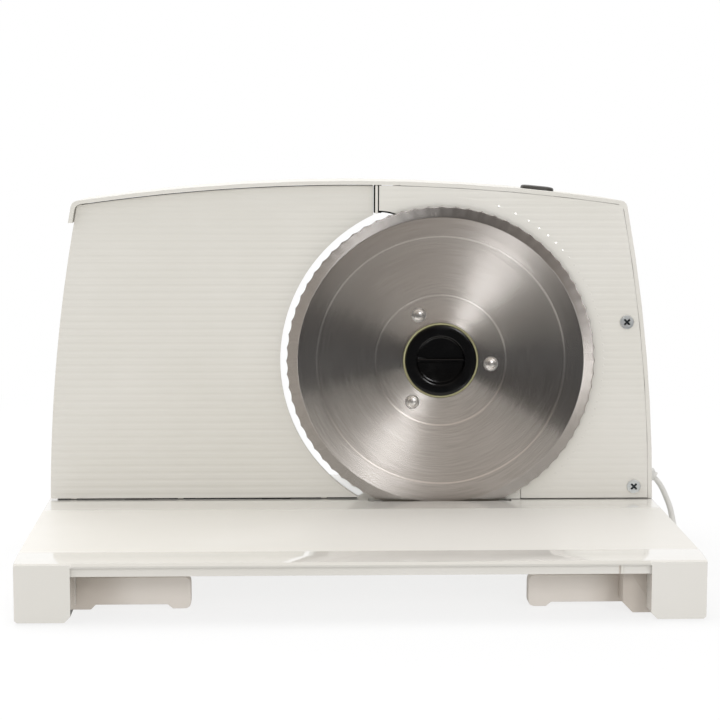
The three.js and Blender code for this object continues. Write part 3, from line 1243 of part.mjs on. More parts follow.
part('switch_button', switchButton(), GREY, switchGroup);
part('switch_spring', switchSpring(), STEEL, switchGroup);
const switchTop = -BUTTON_SKIRT - SPRING_ROOM;
part('switch_body', box(
  -SWITCH_LENGTH / 2, SWITCH_LENGTH / 2, -SWITCH_WIDTH / 2, SWITCH_WIDTH / 2,
  switchTop - SWITCH_HEIGHT, switchTop,
), BLACK, switchGroup);

// Terminal block on the rear wall
const [terminalLength, terminalDepth, terminalHeight] = TERMINAL_SIZE;
part('terminal_block', box(
  TERMINAL_X, TERMINAL_X + terminalLength, rearInside - GAP - terminalDepth, rearInside - GAP,
  TERMINAL_Z, TERMINAL_Z + terminalHeight,
), GREY);

// Fence plate: ribbed face, hollowed round the blade, with stiffeners, screw bosses and glide nubs
function fencePlate() {
  const outline = bodyOutline(ROOF + FENCE_TOP_GAP, FENCE_SIDE_GAP, TABLE_TOP + FENCE_LIFT);
  const arc = rodY(
    BLADE_RADIUS + FENCE_BLADE_GAP, -WIDTH, WIDTH, BLADE_X + FENCE_ARC_SHIFT, BLADE_Z, 96,
  );
  const within = (y0, y1) => cut(
    common(prismY(outline, y0, y1), box(-WIDTH, FENCE_RIGHT, -WIDTH, WIDTH, 0, WIDTH)), arc,
  );
  const face = common(
    within(fenceFace, fenceBack), ribbedSheet(fenceFace, fenceBack, TABLE_TOP, BODY_HEIGHT),
  );
  const stiffeners = LEG_X.map((x) => box(
    x - FENCE_STIFFENER / 2, x + FENCE_STIFFENER / 2, fenceBack - 1, fenceBack + FENCE_BOSS, LEG_TOP,
    BODY_HEIGHT - 2 * LIP_HEIGHT,
  ));
  const bosses = LEG_X.map((x) =>
    rodY(FENCE_BOSS_RADIUS, fenceBack - 1, fenceBack + FENCE_BOSS, x, LEG_SCREW_Z, 20));
  const nubs = NUB_X.map((x) => box(
    x - NUB_SIZE / 2, x + NUB_SIZE / 2, fenceFace + RIB_HEIGHT, fenceBack,
    TABLE_TOP + FENCE_LIFT - NUB_HEIGHT,
    TABLE_TOP + FENCE_LIFT + 1,
  ));
  const holes = LEG_X.map((x) => rodY(
    SCREW_RADIUS + SCREW_FIT, fenceFace + 1.2, legBack, x, LEG_SCREW_Z, HOLE_SIDES,
  ));
  return cut(join(face, ...stiffeners, ...bosses, ...nubs), ...holes);
}

part('fence_plate', fencePlate(), WHITE);

// Fence slide under the deck: legs to the plate, sleeves on the rods, an arm and a riser to the spindle
function fenceSlide() {
  const slideTop = SLIDE_BOTTOM + SLIDE_THICKNESS;
  const bed = box(SLIDE_LEFT, SLIDE_RIGHT, legFront, legFront + SLIDE_DEPTH, SLIDE_BOTTOM, slideTop);
  const legs = LEG_X.map((x) => box(
    x - LEG_WIDTH / 2, x + LEG_WIDTH / 2, legFront, legBack, SLIDE_BOTTOM, LEG_TOP,
  ));
  const sleeves = ROD_X.map((x) => box(
    x - SLEEVE / 2, x + SLEEVE / 2, legBack, legFront + SLIDE_DEPTH, ROD_Z - SLEEVE / 2, ROD_Z + SLEEVE / 2,
  ));
  const arm = box(
    SLIDE_RIGHT - 1, RISER_LEFT + RISER_WIDTH, ARM_FROM, ARM_FROM + ARM_DEPTH, SLIDE_BOTTOM, slideTop,
  );
  const tail = box(
    RISER_LEFT, RISER_LEFT + RISER_WIDTH, ARM_FROM, RISER_FROM + RISER_DEPTH, SLIDE_BOTTOM, slideTop,
  );
  const riser = box(
    RISER_LEFT, RISER_LEFT + RISER_WIDTH, RISER_FROM, RISER_FROM + RISER_DEPTH, SLIDE_BOTTOM,
    SPINDLE_Z + PIN_RADIUS + 4,
  );
  const bores = ROD_X.map((x) => rodY(ROD_RADIUS + RUNNING, 0, rear, x, ROD_Z, 20));
  const screwHoles = LEG_X.map((x) =>
    rodY(SCREW_RADIUS + SCREW_FIT, 0, legBack + 1, x, LEG_SCREW_Z, HOLE_SIDES));
  const pinHole = rodX(
    PIN_RADIUS + SCREW_FIT, RISER_LEFT - 1, spindleX + SPINDLE_RADIUS - GROOVE_DEPTH + GAP + PIN_LENGTH + 1,
    pinY, SPINDLE_Z, 16,
  );
  return cut(join(bed, ...legs, ...sleeves, arm, tail, riser), ...bores, ...screwHoles, pinHole);
}

part('fence_slide', fenceSlide(), GREY);
const pinTip = spindleX + SPINDLE_RADIUS - GROOVE_DEPTH + GAP;
part('follower_pin', rodX(PIN_RADIUS, pinTip, pinTip + PIN_LENGTH, pinY, SPINDLE_Z, 16), STEEL);
LEG_X.forEach((x, i) => {
  const screw = screwGeometry(SCREW_LENGTH - 3).rotateX(PI);
  part(`fence_screw_${i + 1}`, screw.translate(x, legBack + GAP + SCREW_HEAD_HEIGHT, LEG_SCREW_Z), ZINC);
});
ROD_X.forEach((x, i) => {
  part(`guide_rod_${i + 1}`, rodY(ROD_RADIUS, ROD_FROM + 1 + GAP, ROD_TO - 1 - GAP, x, ROD_Z, 16), STEEL);
});

// Spindle with a helical groove: the pin rides along it as the knob turns
const degreesPerMm = 360 / SPINDLE_LEAD;
function spindleGeometry() {
  const body = rodY(
    SPINDLE_RADIUS, pinY - travelFront - PIN_RADIUS - SPINDLE_PAST,
    rearInside - NECK_BOSS - GAP, spindleX, SPINDLE_Z, 36,
  );
  const neck = rodY(
    NECK_RADIUS, pinY - travelFront - PIN_RADIUS - SPINDLE_PAST + 1, rear + GAP + KNOB_STUB,
    spindleX, SPINDLE_Z, 20,
  );
  const floor = SPINDLE_RADIUS - GROOVE_DEPTH;
  const lead = atan2(SPINDLE_LEAD, 2 * PI * floor);
  const halfGroove = (PIN_RADIUS + RUNNING) / cos(lead);
  const [from, to] = [-travelFront * degreesPerMm - GROOVE_PAST, travelBack * degreesPerMm + GROOVE_PAST];
  const count = ceil((to - from) / 10);
  const section = [
    [floor, -halfGroove], [SPINDLE_RADIUS + 1, -halfGroove], [SPINDLE_RADIUS + 1, halfGroove],
    [floor, halfGroove],
  ];
  const stations = Array.from({ length: count + 1 }, (_, i) => {
    const degrees = from + ((to - from) * i) / count;
    const at = axis(spindleX, pinY + degrees / degreesPerMm, SPINDLE_Z);
    return { at, side: axis(cos(rad(degrees)), 0, sin(rad(degrees))), up: axis(0, 1, 0) };
  });
  return cut(join(body, neck), swept(stations, section));
}

part('thickness_spindle', spindleGeometry(), NYLON);

function knobGeometry() {
  const points = Array.from({ length: KNOB_FLUTES * 2 }, (_, i) => {
    const angle = (PI * i) / KNOB_FLUTES;
    const r = KNOB_RADIUS - (i % 2 ? KNOB_FLUTE : 0);
    return [spindleX + r * cos(angle), SPINDLE_Z + r * sin(angle)];
  });
  const grip = prismY(points, rear + GAP, rear + KNOB_PROUD - 1.5);
  const cap = rodY(KNOB_RADIUS - 2, rear + KNOB_PROUD - 2, rear + KNOB_PROUD, spindleX, SPINDLE_Z, 36);
  const socket = rodY(NECK_RADIUS + GAP, rear, rear + KNOB_STUB + 2 * GAP, spindleX, SPINDLE_Z, 20);
  const recess = rodY(
    SCREW_HEAD + SCREW_FIT, rear + KNOB_PROUD - KNOB_SCREW_RECESS, rear + KNOB_PROUD + 1, spindleX,
    SPINDLE_Z, 20,
  );
  const hole = rodY(SCREW_RADIUS + SCREW_FIT, rear, rear + KNOB_PROUD, spindleX, SPINDLE_Z, HOLE_SIDES);
  return cut(join(grip, cap), socket, recess, hole);
}

part('thickness_knob', knobGeometry(), GREY);
const knobScrewLength = KNOB_PROUD - KNOB_SCREW_RECESS - KNOB_STUB - 3 * GAP;
const knobScrew = screwGeometry(knobScrewLength).rotateX(PI);
part('knob_screw', knobScrew.translate(
  spindleX, rear + KNOB_PROUD - KNOB_SCREW_RECESS + GAP + SCREW_HEAD_HEIGHT, SPINDLE_Z,
), ZINC);

// Gland: a flange inside the side wall, a short neck through it and a ringed sleeve that points down
const sleeveRoot = axis(glandWall + GLAND_ELBOW, GLAND_Y, GLAND_Z);
const sleeveAlong = axis(cos(rad(GLAND_TILT)), 0, -sin(rad(GLAND_TILT)));
const sleeveTip = sleeveRoot.clone().addScaledVector(sleeveAlong, GLAND_LENGTH);

function glandGeometry() {
  const inside = glandWall - CASE_WALL - GLAND_SEAT;
  const flange = rodX(GLAND_FLANGE, inside - GLAND_FLANGE_WIDTH, inside, GLAND_Y, GLAND_Z, 16);
  const neck = rodX(GLAND_ROOT, inside - 1, sleeveRoot.x, GLAND_Y, GLAND_Z, 16);
  const profile = [[0, 0], [GLAND_ROOT, 0]];
  const run = GLAND_LENGTH / (2 * GLAND_RINGS + 1);
  for (let i = 0; i <= 2 * GLAND_RINGS; i += 1) {
    const taper = GLAND_ROOT + ((GLAND_TIP - GLAND_ROOT) * (i + 0.5)) / (2 * GLAND_RINGS + 1);
    const r = i % 2 ? taper - GLAND_RING : taper;
    profile.push([r, run * i + 0.1], [r, run * (i + 1) - 0.1]);
  }
  profile.push([GLAND_TIP, GLAND_LENGTH], [0, GLAND_LENGTH]);
  const sleeve = turnedY(profile, 0, 0, 14)
    .rotateZ(-PI / 2)
    .rotateY(rad(GLAND_TILT))
    .translate(...sleeveRoot);
  return join(flange, neck, sleeve);
}

part('cord_gland', glandGeometry(), FLEX);

// Flex from the gland down to the worktop and in under the table, towards the coil's first end
function ovalSection(sides, across, up) {
  return Array.from({ length: sides }, (_, i) => {
    const angle = (2 * PI * (i + 0.5)) / sides;
    return [(across / 2) * cos(angle), (up / 2) * sin(angle)];
  });
}

const coilOuter = COIL_RADIUS + (TURN_PITCH * COIL_LOOPS) / 4;
const coilBottom = TIE_THICKNESS + GAP;
const lowerLayer = coilBottom + CORD_WIDTH / 2;
const upperLayer = lowerLayer + LAYER_PITCH;
const coilEnd = axis(COIL_X + coilOuter, COIL_Y + CORD_WIDTH, lowerLayer);

function cordGeometry() {
  const route = [
    sleeveTip.clone().addScaledVector(sleeveAlong, GAP),
    sleeveTip.clone().addScaledVector(sleeveAlong, CORD_WIDTH / 2),
    ...CORD_FALL.map(([x, y, z]) => axis(half + x, y, z)),
    ...CORD_ARRIVAL.map(([x, y]) => axis(coilEnd.x + x, coilEnd.y + y, lowerLayer)),
    axis(coilEnd.x, coilEnd.y + CORD_WIDTH / 2, lowerLayer),
    axis(coilEnd.x, coilEnd.y + GAP, lowerLayer),
  ];
  const path = new THREE.CatmullRomCurve3(route, false, 'centripetal');
  const steps = ceil(path.getLength() / (2 * CORD_WIDTH));
  const section = outlineOf(ovalSection(8, CORD_WIDTH, CORD_THICKNESS));
  return new THREE.ExtrudeGeometry(section, { steps, extrudePath: path, bevelEnabled: false });
}

part('power_cord', cordGeometry(), FLEX);

// Stored length: two layers of loops that spiral in, climb in the middle half turn and spiral out again
const plugZ = PLUG_HEIGHT / 2 + GAP;

function coilStation(loops) {
  const angle = -2 * PI * loops;
  const r = coilOuter - TURN_PITCH * min(loops, COIL_LOOPS - loops);
  const climb = THREE.MathUtils.smoothstep(loops, COIL_LOOPS / 2 - 0.25, COIL_LOOPS / 2 + 0.25);
  const out = axis(cos(angle), sin(angle), 0);
  const at = axis(COIL_X, COIL_Y, lowerLayer + (upperLayer - lowerLayer) * climb).addScaledVector(out, r);
  return { at, side: out, up: axis(0, 0, 1) };
}

function coilGeometry() {
  const count = COIL_LOOPS * COIL_STEPS;
  const stations = Array.from({ length: count + 1 }, (_, i) => coilStation(i / COIL_STEPS));
  const first = stations[0];
  const lead = { ...first, at: first.at.clone().add(axis(0, CORD_WIDTH, 0)) };
  const last = stations.at(-1);
  const tail = [0.25, 0.45, 0.55, 0.65, 0.75, 0.85, 1].map((t) => {
    const at = last.at.clone().add(axis(0, -COIL_TAIL * t, 0));
    at.z = upperLayer + (plugZ - upperLayer) * THREE.MathUtils.smoothstep(t, 0.45, 0.85);
    return { ...last, at };
  });
  const section = ovalSection(6, CORD_THICKNESS / cos(PI / 6), CORD_WIDTH);
  const whole = [lead, ...stations, ...tail];
  console.log(`least gap between the coil's turns: ${leastGap(whole, section).toFixed(2)} mm`);
  return swept(whole, section);
}

// Least distance between points on stretches of the tube that are more than half a loop apart
function leastGap(stations, section) {
  const rings = stations.map(({ at, side, up }) =>
    section.map(([s, u]) => at.clone().addScaledVector(side, s).addScaledVector(up, u)));
  let least = Infinity;
  for (let i = 0; i < rings.length; i += 1) {
    for (let j = i + COIL_STEPS / 2; j < rings.length; j += 1) {
      for (const p of rings[i]) for (const q of rings[j]) least = min(least, p.distanceTo(q));
    }
  }
  return least;
}

part('power_cord_coil', coilGeometry(), FLEX);

// Tie round all turns
function tieGeometry() {
  const inner = coilOuter - (TURN_PITCH * COIL_LOOPS) / 2 - CORD_THICKNESS / 2 - TIE_SLACK;
  const outer = coilOuter + CORD_THICKNESS / 2 + TIE_SLACK;
  const top = upperLayer + CORD_WIDTH / 2 + TIE_SLACK;
  const w = TIE_WIDTH / 2;
  const strap = cut(
    box(inner - TIE_THICKNESS, outer + TIE_THICKNESS, -w, w, 0, top + TIE_THICKNESS),
    box(inner, outer, -w - 1, w + 1, TIE_THICKNESS, top),
  );
  return strap.rotateZ(rad(TIE_ANGLE)).translate(COIL_X, COIL_Y, 0);
}

part('cord_tie', tieGeometry(), BLACK);

// Two-pin plug at the end of the coil
function plugGeometry() {
  const x = COIL_X + coilOuter;
  const y0 = COIL_Y - COIL_TAIL - GAP;
  const y1 = y0 - PLUG_LENGTH;
  const outline = [
    [x - PLUG_NECK / 2, y0], [x - PLUG_WIDTH / 2, y0 - PLUG_LENGTH / 2], [x - PLUG_WIDTH / 2, y1],
    [x + PLUG_WIDTH / 2, y1], [x + PLUG_WIDTH / 2, y0 - PLUG_LENGTH / 2], [x + PLUG_NECK / 2, y0],
  ];
  const body = prismZ(outline, GAP, GAP + PLUG_HEIGHT);
  const pins = [-1, 1].map((side) =>
    rodY(PLUG_PIN, y1 - PLUG_PIN_LENGTH, y1 + 1, x + (side * PIN_SPACING) / 2, plugZ, 12));
  return join(body, ...pins);
}

part('mains_plug', plugGeometry(), FLEX);

export default slicer;
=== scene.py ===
# %% [markdown]
# # A household food slicer, dressed in Blender
# The packed solids already give every place and size. This lesson puts finer surfaces and real
# finishes round them, one piece at a time. Lengths in the code are millimetres until a mesh is
# made, +Z is up, and the user stands on the -Y side.

# %% Tools and the packed frame
import json

import bmesh
import bpy
import numpy as np
from mathutils import Matrix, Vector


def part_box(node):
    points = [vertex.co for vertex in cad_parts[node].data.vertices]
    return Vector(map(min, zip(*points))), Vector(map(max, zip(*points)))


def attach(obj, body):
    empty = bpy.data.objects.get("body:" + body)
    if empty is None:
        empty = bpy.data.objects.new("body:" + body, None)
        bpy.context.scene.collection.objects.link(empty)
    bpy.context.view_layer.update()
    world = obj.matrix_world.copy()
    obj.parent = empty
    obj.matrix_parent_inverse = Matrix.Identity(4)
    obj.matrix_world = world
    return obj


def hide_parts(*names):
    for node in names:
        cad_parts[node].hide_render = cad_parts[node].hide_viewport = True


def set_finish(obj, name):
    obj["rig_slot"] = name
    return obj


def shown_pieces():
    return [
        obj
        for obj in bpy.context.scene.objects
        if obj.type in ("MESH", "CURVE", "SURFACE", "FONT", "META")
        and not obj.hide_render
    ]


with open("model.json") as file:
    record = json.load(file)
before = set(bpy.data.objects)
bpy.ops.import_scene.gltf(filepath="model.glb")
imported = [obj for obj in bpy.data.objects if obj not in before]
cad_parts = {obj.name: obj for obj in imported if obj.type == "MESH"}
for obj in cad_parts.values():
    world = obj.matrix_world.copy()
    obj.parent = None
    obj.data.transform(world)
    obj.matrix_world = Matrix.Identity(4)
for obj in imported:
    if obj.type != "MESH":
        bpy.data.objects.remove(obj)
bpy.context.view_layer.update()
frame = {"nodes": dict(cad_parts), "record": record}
MM = 0.001
CUT = 28.0  # the cutting plane along Y
HOUSING = "housing"

# %% [markdown]
# ## Camera
# The picture was taken with a long lens a little over a metre away, slightly above the table. A
# camera is placed by three directions: right, up and back. They are worked out from its yaw, its
# pitch and a trace of roll, and put into one matrix, which avoids any mix-up of angle orders.

# %% Camera
FOCAL_PIXELS, FRAME_PIXELS, SENSOR = 2075.0, 720, 36.0
CAMERA_AT = np.array([-38.0, -1100.8, 251.4])
YAW, PITCH, ROLL = np.radians([2.14, 7.18, 0.14])


def camera_axes(yaw, pitch, roll):
    """Right, up and back as columns: ahead = (sin yaw cos pitch, cos yaw cos pitch, -sin pitch)."""
    ahead = np.array([np.sin(yaw) * np.cos(pitch), np.cos(yaw) * np.cos(pitch), -np.sin(pitch)])
    right = np.array([np.cos(yaw), -np.sin(yaw), 0.0])
    up = np.cross(right, ahead)
    turned = right * np.cos(roll) + up * np.sin(roll)
    return np.column_stack([turned, up * np.cos(roll) - right * np.sin(roll), -ahead])


def stand(thing, axes, at):
    """Puts a camera or lamp at a place in metres, with the columns of axes as its own X, Y and Z."""
    matrix = np.eye(4)
    matrix[:3, :3], matrix[:3, 3] = axes, at
    thing.matrix_world = Matrix(matrix.tolist())


scene = bpy.context.scene
camera = bpy.data.objects.new("camera", bpy.data.cameras.new("camera"))
scene.collection.objects.link(camera)
camera.data.sensor_width = SENSOR
camera.data.lens = FOCAL_PIXELS / FRAME_PIXELS * SENSOR
camera.data.clip_end = 100
stand(camera, camera_axes(YAW, PITCH, ROLL), CAMERA_AT * MM)
scene.camera = camera
scene.view_settings.view_transform = "Standard"
print("camera: lens", round(camera.data.lens, 2), "mm")

# %% [markdown]
# ## Surfaces as arrays
# Every new piece is a grid of points: rows one way, columns the other. A shell joins neighbours
# into four-sided faces, wraps round where the surface closes, and can shut its two ends with flat
# faces. Its signed volume tells whether the faces point outwards, and turns them if they don't.

# %% Grids and shells
def xyz(x, y, z):
    """Points from three arrays or numbers, spread to one shape first."""
    return np.stack(np.broadcast_arrays(x, y, z), axis=-1)


def grid_faces(rows, cols, wrap_rows, wrap_cols):
    """Corners (i, j), (i, j+1), (i+1, j+1), (i+1, j) of every cell of the grid."""
    i, j = np.meshgrid(
        np.arange(rows if wrap_rows else rows - 1),
        np.arange(cols if wrap_cols else cols - 1), indexing="ij",
    )
    i, j = i.ravel(), j.ravel()
    k, m = (i + 1) % rows, (j + 1) % cols
    return np.column_stack([i * cols + j, i * cols + m, k * cols + m, k * cols + j])


def signed_volume(points, faces):
    """Sum of a . (b x c) / 6 over fans of triangles from each face's first corner."""
    total = 0.0
    for face in faces:
        fan = points[np.asarray(face)]
        first = np.broadcast_to(fan[0], fan[2:].shape)
        total += np.einsum("ij,ij->", np.cross(fan[1:-1], fan[2:]), first)
    return total / 6


def shell(points, wrap_rows=False):
    """A closed skin from points[row, column, xyz] in millimetres: columns wrap, open ends are shut."""
    rows, cols = points.shape[:2]
    flat = points.reshape(-1, 3)
    faces = grid_faces(rows, cols, wrap_rows, True).tolist()
    if not wrap_rows:
        faces.append(list(range(cols))[::-1])
        faces.append(list(range((rows - 1) * cols, rows * cols)))
    if signed_volume(flat, faces) < 0:
        faces = [face[::-1] for face in faces]
    return flat, faces


print("faces of a tube of 3 rings by 4 points:", len(grid_faces(3, 4, False, True)))

# %% [markdown]
# A piece is a mesh that is tied to the CAD: it rides on a body, belongs to a material slot, and may
# stand for solids that it replaces. It stays at the origin, because its points are already in place.

# %% Pieces
WELD = 2e-6  # metres


def piece(name, body, slot, shells, stands_for=(), crease=35, merge=False):
    """One object at the origin from closed shells; edges sharper than the crease angle stay crisp."""
    points = np.vstack([s[0] for s in shells]) * MM
    starts = np.cumsum([0] + [len(s[0]) for s in shells[:-1]])
    faces = [[int(c + start) for c in face] for (_, fs), start in zip(shells, starts) for face in fs]
    mesh = bpy.data.meshes.new(name)
    mesh.from_pydata(points, [], faces)
    if merge:
        work = bmesh.new()
        work.from_mesh(mesh)
        bmesh.ops.remove_doubles(work, verts=work.verts, dist=WELD)
        bmesh.ops.dissolve_degenerate(work, edges=work.edges, dist=WELD)
        bmesh.ops.recalc_face_normals(work, faces=work.faces)
        work.to_mesh(mesh)
        work.free()
    return placed(name, body, slot, mesh, stands_for, crease)


def placed(name, body, slot, mesh, stands_for=(), crease=35):
    """Links a finished mesh, shades it, and ties it to its CAD body, slot and replaced nodes."""
    mesh.polygons.foreach_set("use_smooth", np.ones(len(mesh.polygons), bool))
    mesh.set_sharp_from_angle(angle=np.radians(crease))
    made = bpy.data.objects.new(name, mesh)
    scene.collection.objects.link(made)
    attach(made, body)
    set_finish(made, slot)
    if stands_for:
        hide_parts(*stands_for)
    print(f"{name}: {len(mesh.vertices)} points, {len(mesh.polygons)} faces")
    return made


# %% [markdown]
# ## Smooth lines
# Three small tools serve the whole lesson: a soft step from 0 to 1, a curve that passes through
# chosen points without overshooting, and a walk along a line in even steps.

# %% Smooth lines
def smoothstep(x, low, high):
    """0 before low, 1 after high, and 3t^2 - 2t^3 between."""
    t = np.clip((np.asarray(x, float) - low) / (high - low), 0, 1)
    return t * t * (3 - 2 * t)


def through(points, steps=24):
    """Centripetal Catmull-Rom curve: knots are roots of the chords, points blend in three levels."""
    p = np.asarray(points, float)
    p = np.vstack([2 * p[0] - p[1], p, 2 * p[-1] - p[-2]])
    knots = np.concatenate([[0], np.cumsum(np.sqrt(np.linalg.norm(np.diff(p, axis=0), axis=1)))])
    t0, t1, t2, t3 = (knots[i:len(p) - 3 + i, None, None] for i in range(4))
    p0, p1, p2, p3 = (p[i:len(p) - 3 + i, None] for i in range(4))
    t = t1 + (t2 - t1) * np.linspace(0, 1, steps, endpoint=False)[None, :, None]

    def between(first, last, start, end):
        """Straight blend of two points over their span of knots."""
        return ((end - t) * first + (t - start) * last) / (end - start)

    a1, a2, a3 = between(p0, p1, t0, t1), between(p1, p2, t1, t2), between(p2, p3, t2, t3)
    curve = between(between(a1, a2, t0, t2), between(a2, a3, t1, t3), t1, t2)
    return np.vstack([curve.reshape(-1, 3), p[-2]])


def evenly(line, step):
    """The same line with points a fixed distance apart, and its running length."""
    run = np.concatenate([[0], np.cumsum(np.linalg.norm(np.diff(line, axis=0), axis=1))])
    at = np.linspace(0, run[-1], int(np.ceil(run[-1] / step)) + 1)
    return np.column_stack([np.interp(at, run, line[:, k]) for k in range(3)]), at


print("a soft step at its quarter:", float(smoothstep(0.25, 0, 1)))

# %% [markdown]
# ## The flex
# A white flat twin lead leaves a gland low on the right side, falls to the worktop and passes
# under the table. What the picture doesn't show is wound into a tied coil there. Its middle line
# comes first: listed points with a smooth curve through them, then five loops by formula.

# %% Route of the flex
CORD_WIDTH, CORD_THICK = 5.0, 3.0
HALF = 167.5
GLAND_Y, GLAND_Z, SLEEVE_DROOP = 64.0, 40.2, np.radians(42)
SLEEVE_ROOT = np.array([169.38, GLAND_Y, GLAND_Z])
SLEEVE_ALONG = np.array([np.cos(SLEEVE_DROOP), 0, -np.sin(SLEEVE_DROOP)])
SLEEVE_LENGTH = 13.2
SLEEVE_TIP = SLEEVE_ROOT + SLEEVE_ALONG * SLEEVE_LENGTH
FALL = np.array([
    [15.9, 62.5, 26.3], [18.5, 59.5, 20.3], [20.1, 55, 14.7], [20.6, 49, 8.6], [20.1, 42, 5],
    [18, 34, 3.8], [13, 26.5, 3.6], [5, 20.8, 3.6], [-4.5, 18.3, 3.6],
]) + [HALF, 0, 0]
COIL_AT, COIL_OUTER, COIL_LOOPS, TURN_PITCH = np.array([89.0, -12.0]), 33.25, 5, 4.6
LOWER, UPPER, PLUG_Z = 3.6, 9.5, 7.1
COIL_X = COIL_AT[0] + COIL_OUTER
ARRIVAL = np.array([[25, 25], [15.5, 23.1], [7.4, 17.7], [2, 9.6], [0, 2.5]]) + [COIL_X, COIL_AT[1] + 5]
TAIL = 34.0

loops = np.linspace(0, COIL_LOOPS, COIL_LOOPS * 240 + 1)
turn = -2 * np.pi * loops
reach = COIL_OUTER - TURN_PITCH * np.minimum(loops, COIL_LOOPS - loops)
climb = smoothstep(loops, COIL_LOOPS / 2 - 0.25, COIL_LOOPS / 2 + 0.25)
coil_line = xyz(
    COIL_AT[0] + reach * np.cos(turn), COIL_AT[1] + reach * np.sin(turn), LOWER + (UPPER - LOWER) * climb
)
out = np.linspace(0, 1, 40)[1:]
fall = smoothstep(out, 0.45, 0.85)
tail_line = xyz(COIL_X, COIL_AT[1] - TAIL * out, UPPER + (PLUG_Z - UPPER) * fall)
free_line = through(np.vstack([
    SLEEVE_TIP + SLEEVE_ALONG * 0.3, SLEEVE_TIP + SLEEVE_ALONG * 2.5, FALL,
    np.insert(ARRIVAL, 2, LOWER, axis=1), [COIL_X, COIL_AT[1] + 0.5, LOWER],
]))
route, run = evenly(np.vstack([free_line, coil_line, tail_line]) + [0, CUT, 0], 1.5)
print("flex:", round(run[-1] / 1000, 3), "m of route")

# %% [markdown]
# The lead is flat, so its section has to know which way is wide. Near the gland the wide way is
# front to back, and on the worktop it stands upright, as a flat lead does when it is bent
# sideways. Blending those two directions and taking off the part along the line gives the twist.

# %% Flat twin tube
def across(line, wide):
    """Wide ways square to the line, and narrow ways square to both, at every station."""
    along = np.gradient(line, axis=0)
    along /= np.linalg.norm(along, axis=1, keepdims=True)
    wide = wide - along * np.sum(wide * along, axis=1, keepdims=True)
    wide /= np.linalg.norm(wide, axis=1, keepdims=True)
    return wide, np.cross(along, wide)


def flat_section(half_wide, half_thick, groove):
    """Two half rounds joined by sides that dip by the groove in the middle."""
    round_off = np.linspace(-np.pi / 2, np.pi / 2, 8)
    core = half_wide - half_thick
    side = np.linspace(core, -core, 9)[1:-1]
    dip = half_thick - groove * np.exp(-((side / (0.35 * core)) ** 2))
    right = np.column_stack([core + half_thick * np.cos(round_off), half_thick * np.sin(round_off)])
    top = np.column_stack([side, dip])
    return np.vstack([right, top, -right, -top])


def carried(line, wide, section, grow=1.0):
    """Section point (s, n) at station i lies at line[i] + grow[i] (s wide[i] + n narrow[i])."""
    w, n = across(line, wide)
    size = np.broadcast_to(grow, len(line))[:, None, None]
    return line[:, None] + size * (section[:, 0, None] * w[:, None] + section[:, 1, None] * n[:, None])


lay = smoothstep(run, 15, 60)[:, None]
wide_way = (1 - lay) * [0.0, 1.0, 0.0] - lay * [0.0, 0.0, 1.0]
flex = piece(
    "mains_flex", HOUSING, "white_flex",
    [shell(carried(route, wide_way, flat_section(CORD_WIDTH / 2, CORD_THICK / 2, 0.14)))],
    ["power_cord", "power_cord_coil"], crease=60,
)

# %% [markdown]
# ## Gland, tie and plug
# The gland is a soft ringed sleeve: a circle carried along a bent line, its radius a formula of
# the distance run. A wider flange holds it inside the wall.

# %% Gland
def circle(count):
    """Points (cos a, sin a) at even angles."""
    angle = np.linspace(0, 2 * np.pi, count, endpoint=False)
    return np.column_stack([np.cos(angle), np.sin(angle)])


GLAND_WALL = 166.18
GLAND_INSIDE = GLAND_WALL - 3.5
FLANGE, SLEEVE_WIDE, SLEEVE_NARROW, RING_COUNT, RING_DEPTH = 6.6, 5.2, 3.5, 4, 0.55
gland_line, gland_run = evenly(through(np.vstack([
    xyz([GLAND_INSIDE - 2, GLAND_INSIDE + 2, GLAND_WALL], GLAND_Y, GLAND_Z),
    SLEEVE_ROOT + SLEEVE_ALONG * np.array([[1.5], [6.0], [SLEEVE_LENGTH]]),
]) + [0, CUT, 0]), 0.25)
past = gland_run - (gland_run[-1] - SLEEVE_LENGTH)
taper = np.interp(past, [0, SLEEVE_LENGTH], [SLEEVE_WIDE, SLEEVE_NARROW])
rings = 0.5 - 0.5 * np.cos(2 * np.pi * np.clip(past / SLEEVE_LENGTH, 0, 1) * RING_COUNT)
radius = np.where(past < 0, SLEEVE_WIDE, taper - RING_DEPTH * rings)
radius = np.where(gland_run < 2, FLANGE, radius)
gland = piece(
    "flex_gland", HOUSING, "white_flex",
    [shell(carried(gland_line, np.tile([0.0, 1.0, 0.0], (len(gland_line), 1)), circle(40), radius))],
    ["cord_gland"],
)

# %% [markdown]
# The tie is a flat strap round all the turns. An outer and an inner rounded rectangle are joined
# across the strap's width, then turned about the middle of the coil.

# %% Tie
TIE_ANGLE, TIE_HALF = np.radians(45), 3.0


def rounded_loop(u0, u1, v0, v1, radius, steps=8):
    """Corner arcs of a rounded rectangle, one after another."""
    arcs = np.linspace(0, np.pi / 2, steps)
    corners = [(u1, v0, -np.pi / 2), (u1, v1, 0), (u0, v1, np.pi / 2), (u0, v0, np.pi)]
    middle = [(u - radius * np.sign(u - (u0 + u1) / 2), v - radius * np.sign(v - (v0 + v1) / 2), a)
              for u, v, a in corners]
    return np.vstack([
        np.column_stack([u + radius * np.cos(a + arcs), v + radius * np.sin(a + arcs)])
        for u, v, a in middle
    ])


